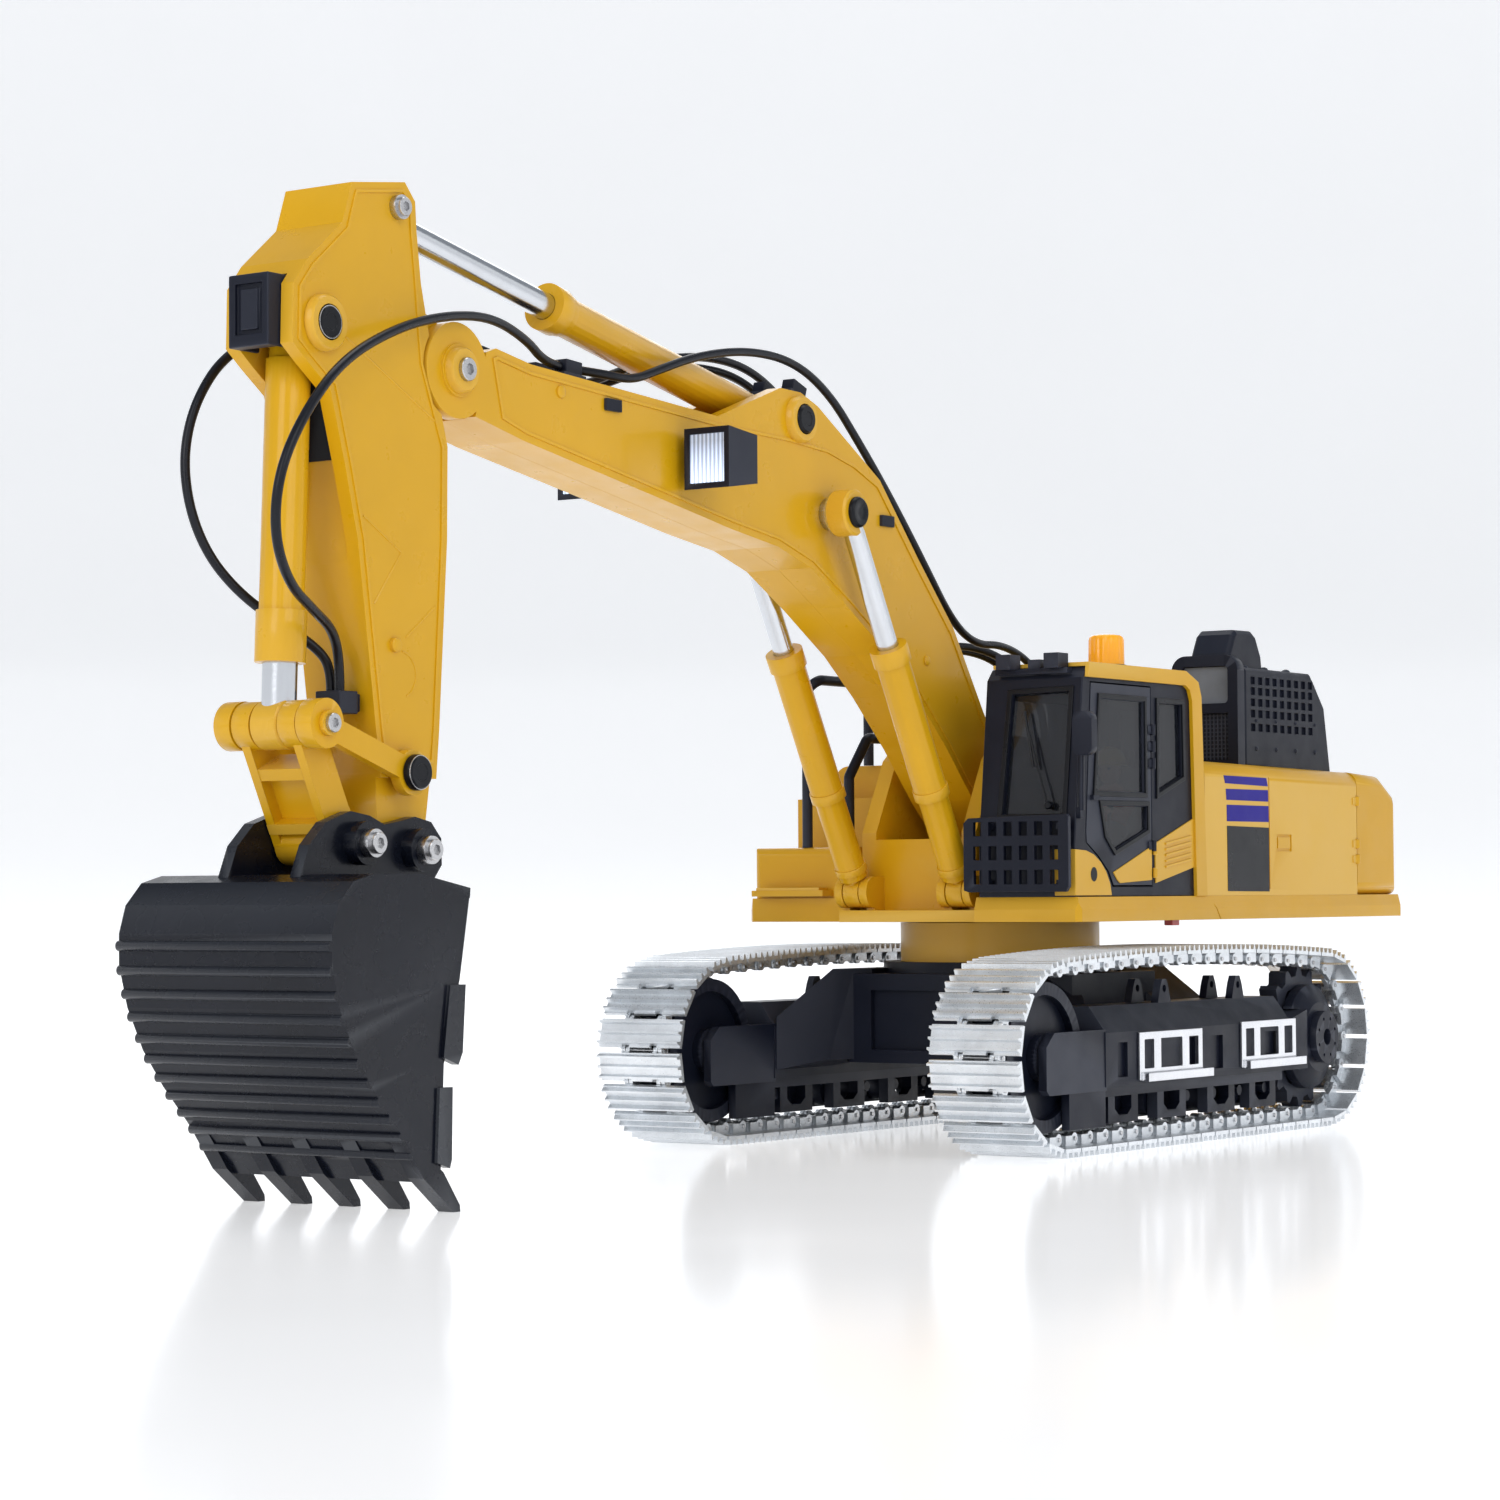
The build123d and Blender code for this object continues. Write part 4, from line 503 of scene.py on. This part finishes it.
# ------------------------------------------------------------ house
SIDE = 61.5           # Y of the engine body's flank
CAB_SIDE = 61.0       # Y of the cab's flank
HINGE_X = -126.8      # X of the engine door's hinges
stripes = Geo()
for outline in ([(-31.6, 110.0), (-60.8, 109.8), (-61.9, 107.2), (-32.6, 107.6)],
                [(-33.0, 105.9), (-61.9, 106.0), (-62.0, 102.4), (-33.4, 102.5)],
                [(-33.5, 101.0), (-62.1, 101.0), (-62.2, 96.0), (-33.6, 95.9)]):
    stripes.prism("xz", outline, SIDE - 0.05, SIDE + 0.10)
stripes.mirrored().build("body_stripes", "house", [blue], None)
panel = Geo().prism("xz", [(-33.6, 94.5), (-62.2, 94.2), (-62.2, 74.2), (-33.8, 74.4)], SIDE - 0.05, SIDE + 0.12)
panel.mirrored().build("body_panels", "house", [cap_black], "black_plastic")

hinges = Geo()
for z0, z1 in ((83.0, 86.2), (88.0, 91.2), (102.0, 105.2)):
    hinges.lathe((HINGE_X, SIDE - 0.1, z0), (0, 0, 1),
                 [(0.9, 0), (1.15, 0.25), (1.15, z1 - z0 - 0.25), (0.9, z1 - z0)], 20)
    hinges.block(HINGE_X + 0.8, HINGE_X + 3.4, SIDE - 0.2, SIDE + 0.35, z0 + 0.4, z1 - 0.4)
hinges.mirrored().build("body_hinges", "house", [mats["yellow_plastic"]], "yellow_plastic", bevel=0.15)

# cab: yellow lower corner, vented rear panel, door panel, window seals
corner = Geo().prism("xz", [(61.05, 73.4), (61.05, 86.7), (54.9, 86.4), (50.4, 85.3), (46.3, 83.1), (43.0, 80.2),
                            (40.8, 76.9), (39.8, 73.4)], CAB_SIDE - 0.1, CAB_SIDE + 0.45)
corner.prism("yz", [(54.5, 73.4), (CAB_SIDE + 0.45, 73.4), (CAB_SIDE + 0.45, 86.7), (54.5, 86.7)], 60.9, 61.4)
corner.prism("xz", [(12.9, 88.7), (-11.8, 96.5), (-13.6, 82.0), (12.6, 76.9)], CAB_SIDE - 0.1, CAB_SIDE + 0.45)
for k in range(5):
    low, high = 81.4 + k * 1.72, 83.7 + k * 1.72
    corner.prism("xz", [(6.9, low), (6.9, low + 0.75), (-9.4, high + 0.75), (-9.4, high)], CAB_SIDE + 0.3,
                 CAB_SIDE + 0.95)
for z in (78.4, 85.2):
    corner.lathe((13.6, CAB_SIDE + 0.7, z), (0, 0, 1), [(0.55, 0), (0.8, 0.2), (0.8, 2.9), (0.55, 3.1)], 16)
corner.build("cab_side_panels", "house", [mats["yellow_plastic"]], "yellow_plastic", bevel=0.22)
oval = [(50.6 + 1.9 * math.cos(a * math.pi / 12), 79.5 + 2.1 * math.sin(a * math.pi / 12)) for a in range(24)]
hole = Geo().prism("xz", oval, CAB_SIDE + 0.3, CAB_SIDE + 0.52)
hole.build("cab_corner_hole", "house", [cap_black], "black_plastic")
panel = Geo().prism("xz", [(38.6, 80.1), (14.9, 87.9), (14.9, 77.8), (34.6, 76.9), (36.2, 77.8)], CAB_SIDE - 0.1,
                    CAB_SIDE + 0.4)
panel.build("door_lower_panel", "cab_door", [mats["yellow_plastic"]], "yellow_plastic", bevel=0.22)


for name, body, outline in (
        ("door_window_seal_upper", "cab_door", [(18.9, 130.6), (45.3, 130.6), (48.4, 103.8), (18.9, 103.8)]),
        ("door_window_seal_lower", "cab_door",
         [(17.6, 99.6), (44.6, 99.4), (42.2, 91.2), (37.2, 86.8), (17.6, 92.9)]),
        ("cab_window_seal", "house", [(9.6, 130.6), (-4.8, 130.6), (-5.3, 109.2), (9.9, 104.2)])):
    seal = Geo().band(outline, -0.9, 0.7, CAB_SIDE - 0.15, CAB_SIDE + 0.55)
    seal.build(name, body, [cap_black], "black_plastic", bevel=0.2)

# windscreen frame and wiper: the screen leans back from its foot to its top, both given as X, Z
SCREEN_FOOT, SCREEN_TOP = (61.0, 88.0), (55.5, 136.5)
LEAN = (SCREEN_TOP[0] - SCREEN_FOOT[0]) / (SCREEN_TOP[1] - SCREEN_FOOT[1])


def screen(y, z, out=0.0):
    """Point on the windscreen's plane, or this far in front of it."""
    return (SCREEN_FOOT[0] + LEAN * (z - SCREEN_FOOT[1]) + out, y, z)


front = Geo()
ring = Geo().band([(36.5, 97.0), (56.5, 97.0), (56.9, 132.5), (38.0, 132.0)], -0.8, 0.75, -0.15, 0.5)
front.add([(screen(u, v, y)[0], u, v) for u, y, v in ring.verts], ring.faces)
front.build("windscreen_seal", "house", [cap_black], "black_plastic", bevel=0.2)
wiper = Geo().tube([screen(52, 99.5, 0.9), screen(47.5, 112, 0.9), screen(44.6, 121, 0.9)], 0.32, 8)
wiper.tube([screen(46.6, 110.5, 0.75), screen(42.8, 127.0, 0.75)], 0.42, 8)
wiper.lathe(screen(52, 99.5, 0.0), (1, 0, 0), [(1.2, -0.2), (1.2, 0.9), (0.9, 1.3)], 18)
wiper.build("windscreen_wiper", "house", [cap_black], "black_plastic")

# fluted amber lens on its black foot
FLUTES = 14
BEACON_FOOT_TOP = 0.1427     # height in metres


def flute(angle, radius, ring):
    return radius * (1 + (0.025 * math.cos(FLUTES * angle) if 2 <= ring <= 6 else 0))


lens = Geo().lathe((12, 45, 141.05), (0, 0, 1),
                   [(6.0, 0), (6.0, 1.5), (5.3, 1.6), (5.3, 2.2), (5.2, 9.0), (4.9, 9.9), (4.2, 10.4), (2.4, 10.7),
                    (0.4, 10.75)], 6 * FLUTES, 0, flute)
lens_obj = lens.build("beacon_lens", "house", [mats["amber_lens"], cap_black], "amber_lens")
for poly in lens_obj.data.polygons:
    if poly.center.z < BEACON_FOOT_TOP:
        poly.material_index = 1
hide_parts("beacon")

# operator: helmet, plain face, vest, arms on two levers; tags are the places in FIGURE_MATERIALS
FIGURE_MATERIALS = [mats["figure_plastic"], skin, helmet_yellow, trousers]
VEST, SKIN, HELMET, TROUSERS = range(len(FIGURE_MATERIALS))
CAB_Y = 45            # Y of the cab's middle plane


def blob(geo, centre, radii, tag, steps=20, rings=12, squeeze=None):
    """Rounded lump; squeeze may move its points."""
    points, faces = [], []
    for k in range(rings + 1):
        v = math.pi * k / rings
        for i in range(steps):
            u = 2 * math.pi * i / steps
            p = [radii[0] * math.sin(v) * math.cos(u), radii[1] * math.sin(v) * math.sin(u),
                 radii[2] * math.cos(v)]
            if squeeze:
                p = squeeze(p)
            points.append((centre[0] + p[0], centre[1] + p[1], centre[2] + p[2]))
    for k in range(rings):
        for i in range(steps):
            j = (i + 1) % steps
            faces.append([k * steps + i, (k + 1) * steps + i, (k + 1) * steps + j, k * steps + j])
    geo.add(points, faces, tag)


def shoulders(p):
    """Widens the chest towards its top."""
    return [p[0], p[1] * (1.0 + 0.012 * p[2]), p[2]]


figure = Geo()
blob(figure, (10.0, CAB_Y, 98.5), (4.2, 5.9, 9.0), VEST, squeeze=shoulders)
blob(figure, (10.6, CAB_Y, 110.6), (3.6, 3.3, 4.4), SKIN)
blob(figure, (14.2, CAB_Y, 110.2), (0.75, 0.6, 1.0), SKIN, 10, 6)
for side in (-1, 1):
    blob(figure, (13.6, CAB_Y + side * 1.35, 111.3), (0.45, 0.55, 0.4), TROUSERS, 10, 6)     # eye
    blob(figure, (10.4, CAB_Y + side * 3.3, 110.3), (0.9, 0.5, 1.1), SKIN, 10, 6)
    figure.tube([(9.6, CAB_Y + side * 5.6, 104.0), (11.0, CAB_Y + side * 6.6, 99.5),
                 (14.5, CAB_Y + side * 6.4, 96.6), (20.5, CAB_Y + side * 5.7, 98.2)], 1.75, 12, VEST)
    blob(figure, (21.8, CAB_Y + side * 5.5, 98.6), (1.9, 1.5, 1.5), SKIN, 12, 8)
    figure.tube([(8.5, CAB_Y + side * 2.9, 92.6), (16, CAB_Y + side * 3.3, 93.6), (22.6, CAB_Y + side * 3.4, 93.0),
                 (24.6, CAB_Y + side * 3.4, 86.0), (25.2, CAB_Y + side * 3.4, 79.6)], 2.15, 12, TROUSERS)
    blob(figure, (27.0, CAB_Y + side * 3.4, 79.2), (3.2, 1.7, 1.5), TROUSERS, 14, 8)
figure.lathe((10.2, CAB_Y, 112.4), (0, 0, 1),
             [(5.3, 0), (5.4, 0.35), (4.9, 0.7), (4.7, 2.0), (3.9, 3.9), (2.4, 5.0), (0.5, 5.4)], 32, HELMET)
figure.block(13.8, 17.0, 42.3, 47.7, 112.4, 112.9, HELMET)
figure.block(7.0, 13.4, 44.6, 45.4, 113.5, 118.0, HELMET)
figure_obj = figure.build("operator_figure", "house", FIGURE_MATERIALS, "figure_plastic")
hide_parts("operator")

levers = Geo()
for y in (38.8, 51.2):
    levers.block(18.0, 26.0, y - 2.0, y + 2.0, 88.0, 93.6)
    levers.tube([(22.4, y, 93.4), (22.6, y, 96.5), (21.9, y, 99.0)], 0.6, 10)
    blob(levers, (21.9, y, 99.8), (1.1, 1.1, 1.6), 0, 14, 8)
levers.block(38.0, 44.0, 52.0, 57.5, 96.0, 104.0)
levers.build("cab_controls", "house", [mats["black_plastic"]], "black_plastic", bevel=0.4)

# engine hood: rivets, lifting bumps, the two intake screens
rivets = Geo()
for z, radius in ((128.8, 0.55), (119.8, 0.8)):
    for k in range(4):
        rivets.lathe((-77.5 - 14.2 * k, 49.9, z), (0, 1, 0),
                     [(radius, 0), (radius * 0.9, 0.35), (radius * 0.4, 0.6)], 14)
for x in (-76.0, -90.0, -106.0):
    rivets.lathe((x, 46.5, 145.5), (0, 0, 1), [(1.5, 0), (1.3, 0.7), (0.5, 1.1)], 16)
rivets.build("hood_rivets", "house", [mats["black_plastic"]], "black_plastic")
insert = Geo().prism("yz", [(30.2, 134.2), (46.3, 134.2), (46.3, 145.8), (30.2, 145.8)], -66.6, -66.2)
insert.build("intake_screen_upper", "house", [screen_grey], None)
mesh_panel = Geo()
for k in range(12):
    y = 31.0 + k * 1.35
    mesh_panel.block(-66.5, -66.15, y, y + 0.45, 116.2, 130.8)
for k in range(11):
    z = 117.0 + k * 1.3
    mesh_panel.block(-66.5, -66.2, 30.2, 46.3, z, z + 0.4)
mesh_panel.build("intake_screen_lower", "house", [mats["black_plastic"]], "black_plastic")

# ------------------------------------------------------------ fasteners
# a spot below is X, Y (on both sides), Z, radius and height
SOCKET_RING = 4       # first ring of a screw's profile that lies in its socket


def socket_screw(geo, x, y, z, side, radius, height):
    """Cap screw with a hexagon socket, standing on the plane y and facing side."""
    def hexagon(angle, r, ring):
        if ring < SOCKET_RING:
            return r
        sector = (angle + math.pi / 6) % (math.pi / 3) - math.pi / 6
        return r / math.cos(sector)

    geo.lathe((x, y, z), (0, side, 0),
              [(radius, 0), (radius, height * 0.85), (radius * 0.93, height), (radius * 0.62, height),
               (radius * 0.47, height), (radius * 0.45, height * 0.35), (radius * 0.1, height * 0.3)],
              36, 0, hexagon)


def button_cap(geo, x, y, z, side, radius, height):
    """Pressed-in cap with rounded edge and a dimple."""
    geo.lathe((x, y, z), (0, side, 0),
              [(radius, -0.2), (radius, height * 0.45), (radius * 0.95, height * 0.75), (radius * 0.84, height),
               (radius * 0.5, height), (radius * 0.46, height * 0.92), (radius * 0.2, height * 0.92)], 36)


def screws(name, body, spots):
    geo = Geo()
    for x, y, z, radius, height in spots:
        for side in (1, -1):
            socket_screw(geo, x, side * y, z, side, radius, height)
    geo.build(name, body, [mats["bolt_steel"]], "bolt_steel")


def caps(name, body, spots):
    geo = Geo()
    for x, y, z, radius, height in spots:
        for side in (1, -1):
            button_cap(geo, x, side * y, z, side, radius, height)
    geo.build(name, body, [cap_black], "black_plastic")


def bosses(name, body, spots):
    """Raised round collars that the pins of each side sit in; a spot has an outer and an inner radius."""
    geo = Geo()
    for x, y, z, outer, inner, height in spots:
        geo.lathe((x, y, z), (0, 1, 0), [(outer + 0.3, 0), (outer, height - 0.5), (outer - 0.5, height),
                                         (inner, height), (inner, 0.2)], 44)
    geo.mirrored().build(name, body, [mats["yellow_paint"]], "yellow_paint")


bosses("boom_bosses", "boom", [(127.3, 10.8, 207.6, 6.5, 4.35, 2.5), (280.0, 11.2, 204.3, 5.6, 2.95, 2.5)])
bosses("stick_bosses", "stick", [(330.0, 10.6, 210.0, 6.6, 4.35, 2.2)])
caps("boom_caps", "boom", [(127.3, 12.2, 207.6, 4.2, 2.0)])
screws("boom_tip_screws", "boom", [(280.0, 13.4, 204.3, 2.9, 1.5)])
caps("stick_caps", "stick", [(330.0, 11.3, 210.0, 4.2, 1.9), (301.0, 14.5, 104.2, 4.4, 2.1)])
screws("stick_top_screws", "stick", [(302.6, 12.2, 241.5, 2.3, 1.2)])
screws("bucket_screws", "bucket", [(299.5, 18.55, 85.5, 2.6, 1.3), (320.5, 18.55, 87.0, 2.6, 1.3)])
screws("rocker_screws", "rockers", [(334.2, 16.5, 115.0, 2.3, 1.2)])
for side, word in ((1, "left"), (-1, "right")):
    eye = Geo()
    button_cap(eye, 113.0, side * 20.9, 182.0, side, 4.4, 1.6)
    eye.build(f"boom_eye_cap_{word}", f"boom_rod_{word}", [cap_black], "black_plastic")
    collar = Geo().lathe((113.0, side * 14.4, 182.0), (0, side, 0),
                         [(6.1, 0), (6.6, 0.4), (6.6, 5.9), (6.0, 6.5), (4.6, 6.5)], 40)
    collar.build(f"boom_eye_collar_{word}", f"boom_rod_{word}", [mats["yellow_paint"]], "yellow_paint")

for body, centre, profile, steps in (
        ("bucket_rod", (334.2, -4.1, 115.0), [(5.4, 0), (5.9, 0.4), (5.9, 7.8), (5.4, 8.2)], 40),
        ("stick_rod", (302.6, -4.7, 241.5), [(2.8, 0), (3.0, 0.3), (3.0, 9.1), (2.8, 9.4)], 32)):
    collar = Geo().lathe(centre, (0, 1, 0), profile, steps)
    collar.build(f"{body}_collar", body, [mats["yellow_paint"]], "yellow_paint")

# ------------------------------------------------------------ boom and stick relief
# raised rims along the outlines (X, Z), with round bosses and ridges inside them
BOOM_FLANK, STICK_FLANK = 10.9, 10.4     # Y from which the relief stands up
BOOM_OUTLINE = [(268.5, 210.2), (264.6, 211.6), (250.2, 209.2), (167.3, 204.5), (133.0, 203.8), (112.3, 202.4),
                (98.0, 199.2), (85, 194.3), (63.8, 172.5), (44.5, 153.6), (27.1, 128.7), (8.5, 107.0),
                (14.0, 92.0), (33.7, 102), (49.4, 117.8), (66.2, 132.5), (81.4, 143.9), (102.8, 156.3),
                (121.7, 166.2), (138.1, 171), (160.7, 174.1), (194.3, 179.7), (253, 189.3), (264, 192.5)]
relief = Geo().band(BOOM_OUTLINE, 2.4, 0.45, BOOM_FLANK, BOOM_FLANK + 0.5)
for x, z, r in ((238, 203.5, 1.7), (92, 160.0, 1.7), (60, 143.0, 1.5)):
    relief.lathe((x, BOOM_FLANK, z), (0, 1, 0), [(r, 0), (r, 0.5), (r * 0.8, 0.8), (r * 0.3, 0.9)], 20)
relief.mirrored().build("boom_relief", "boom", [mats["yellow_paint"]], "yellow_paint", bevel=0.15)

STICK_OUTLINE = [(299.6, 248.2), (319.5, 245.2), (323.0, 235.0), (335.5, 224.6), (340.4, 218.4), (340.8, 204.2),
                 (335.6, 200.2), (327.4, 194.5), (322.0, 176.5), (317.5, 159.4), (310.9, 114.1), (309.2, 105.0),
                 (288.2, 105.0), (287.0, 114.9), (283.7, 162), (283.4, 185.0), (291.5, 205.0), (293.6, 224.2),
                 (295.2, 236.7), (295.7, 244.0)]
STICK_ARC = [(302.0 + 6.0 * math.cos(a / 10), 128.0 + 5.6 * math.sin(a / 10)) for a in range(17, 44)]
relief = Geo().band(STICK_OUTLINE, 2.2, 0.4, STICK_FLANK, STICK_FLANK + 0.45)
for ridge in ([(321.8, 207.6), (288.5, 190.9)], [(315.6, 165.4), (301.5, 157.5), (311.6, 144.6)],
              [(288.6, 145.3), (299.8, 137.0)], STICK_ARC):
    relief.tube([(x, STICK_FLANK + 0.05, z) for x, z in ridge], 0.3, 8)
relief.lathe((304.1, STICK_FLANK, 135.0), (0, 1, 0), [(1.8, 0), (1.8, 1.0), (1.4, 1.4), (0.5, 1.5)], 20)
relief.mirrored().build("stick_relief", "stick", [mats["yellow_paint"]], "yellow_paint", bevel=0.14)
# painted shade: a black sheet on the back face of the bucket cylinder's pocket, standing in for the shade in that
# recess
slot = Geo().prism("xz", [(319.4, 198.0), (319.8, 198.0), (318.55, 179.0), (318.15, 179.0)], -6.5, 6.5)
slot.build("stick_pocket_painted_shade", "stick", [cap_black], "black_plastic")

# ------------------------------------------------------------ floor and light
# a round table top that curves up far away, all round, into a pale wall
TABLE_RADIUS = 2.2
CURVE_RADIUS = 2.2
CURVE_STEPS = 24
SPOKES = 96
rings = [(1.0, 0.0), (TABLE_RADIUS, 0.0)]     # radius and height, in metres
for step in range(1, CURVE_STEPS + 1):
    turn = step / CURVE_STEPS * math.pi / 2
    rings.append((TABLE_RADIUS + CURVE_RADIUS * math.sin(turn), CURVE_RADIUS - CURVE_RADIUS * math.cos(turn)))
floor_verts = [(r * math.cos(2 * math.pi * i / SPOKES), r * math.sin(2 * math.pi * i / SPOKES), z)
               for r, z in rings for i in range(SPOKES)]
floor_faces = [list(range(SPOKES))]
for k in range(len(rings) - 1):
    for i in range(SPOKES):
        j = (i + 1) % SPOKES
        floor_faces.append([k * SPOKES + i, (k + 1) * SPOKES + i, (k + 1) * SPOKES + j, k * SPOKES + j])
floor_mesh = bpy.data.meshes.new("floor")
floor_mesh.from_pydata(floor_verts, [], floor_faces)
floor_mesh.polygons.foreach_set("use_smooth", [True] * len(floor_mesh.polygons))
floor = bpy.data.objects.new("floor", floor_mesh)
bpy.context.scene.collection.objects.link(floor)
s = Shader("floor")
s.set("Base Color", s.ramp(s.noise(3.0), [(0.3, (0.86, 0.86, 0.87)), (0.7, (0.88, 0.88, 0.89))]))
s.set("Roughness", s.remap(s.noise(5.0), 0.11, 0.15))
s.set("Specular IOR Level", 0.4)
s.set("Emission Color", (1.0, 1.0, 1.0, 1.0))
s.set("Emission Strength", 0.43)
floor_mesh.materials.append(s.material)

LIT_POINT = Vector((0, 0, 0.1))
world = bpy.data.worlds.new("studio")
bpy.context.scene.world = world
world.use_nodes = True
world.node_tree.nodes["Background"].inputs["Color"].default_value = (0.84, 0.91, 1.0, 1)
world.node_tree.nodes["Background"].inputs["Strength"].default_value = 0.35


def softbox(name, place, size, power):
    """Rectangular lamp that faces the model; metres and watts."""
    data = bpy.data.lights.new(name, "AREA")
    data.shape = "RECTANGLE"
    data.size, data.size_y = size
    data.energy = power
    lamp = bpy.data.objects.new(name, data)
    lamp.location = place
    lamp.rotation_euler = (LIT_POINT - Vector(place)).to_track_quat("-Z", "Y").to_euler()
    bpy.context.scene.collection.objects.link(lamp)


softbox("key", (0.55, 1.15, 1.05), (0.8, 0.8), 5.0)
softbox("front", (1.35, 0.15, 0.75), (0.6, 0.8), 4.6)
softbox("top", (-0.3, -0.1, 1.6), (1.2, 0.7), 6.0)
softbox("rim", (-1.2, -0.8, 0.9), (0.7, 0.9), 3.5)
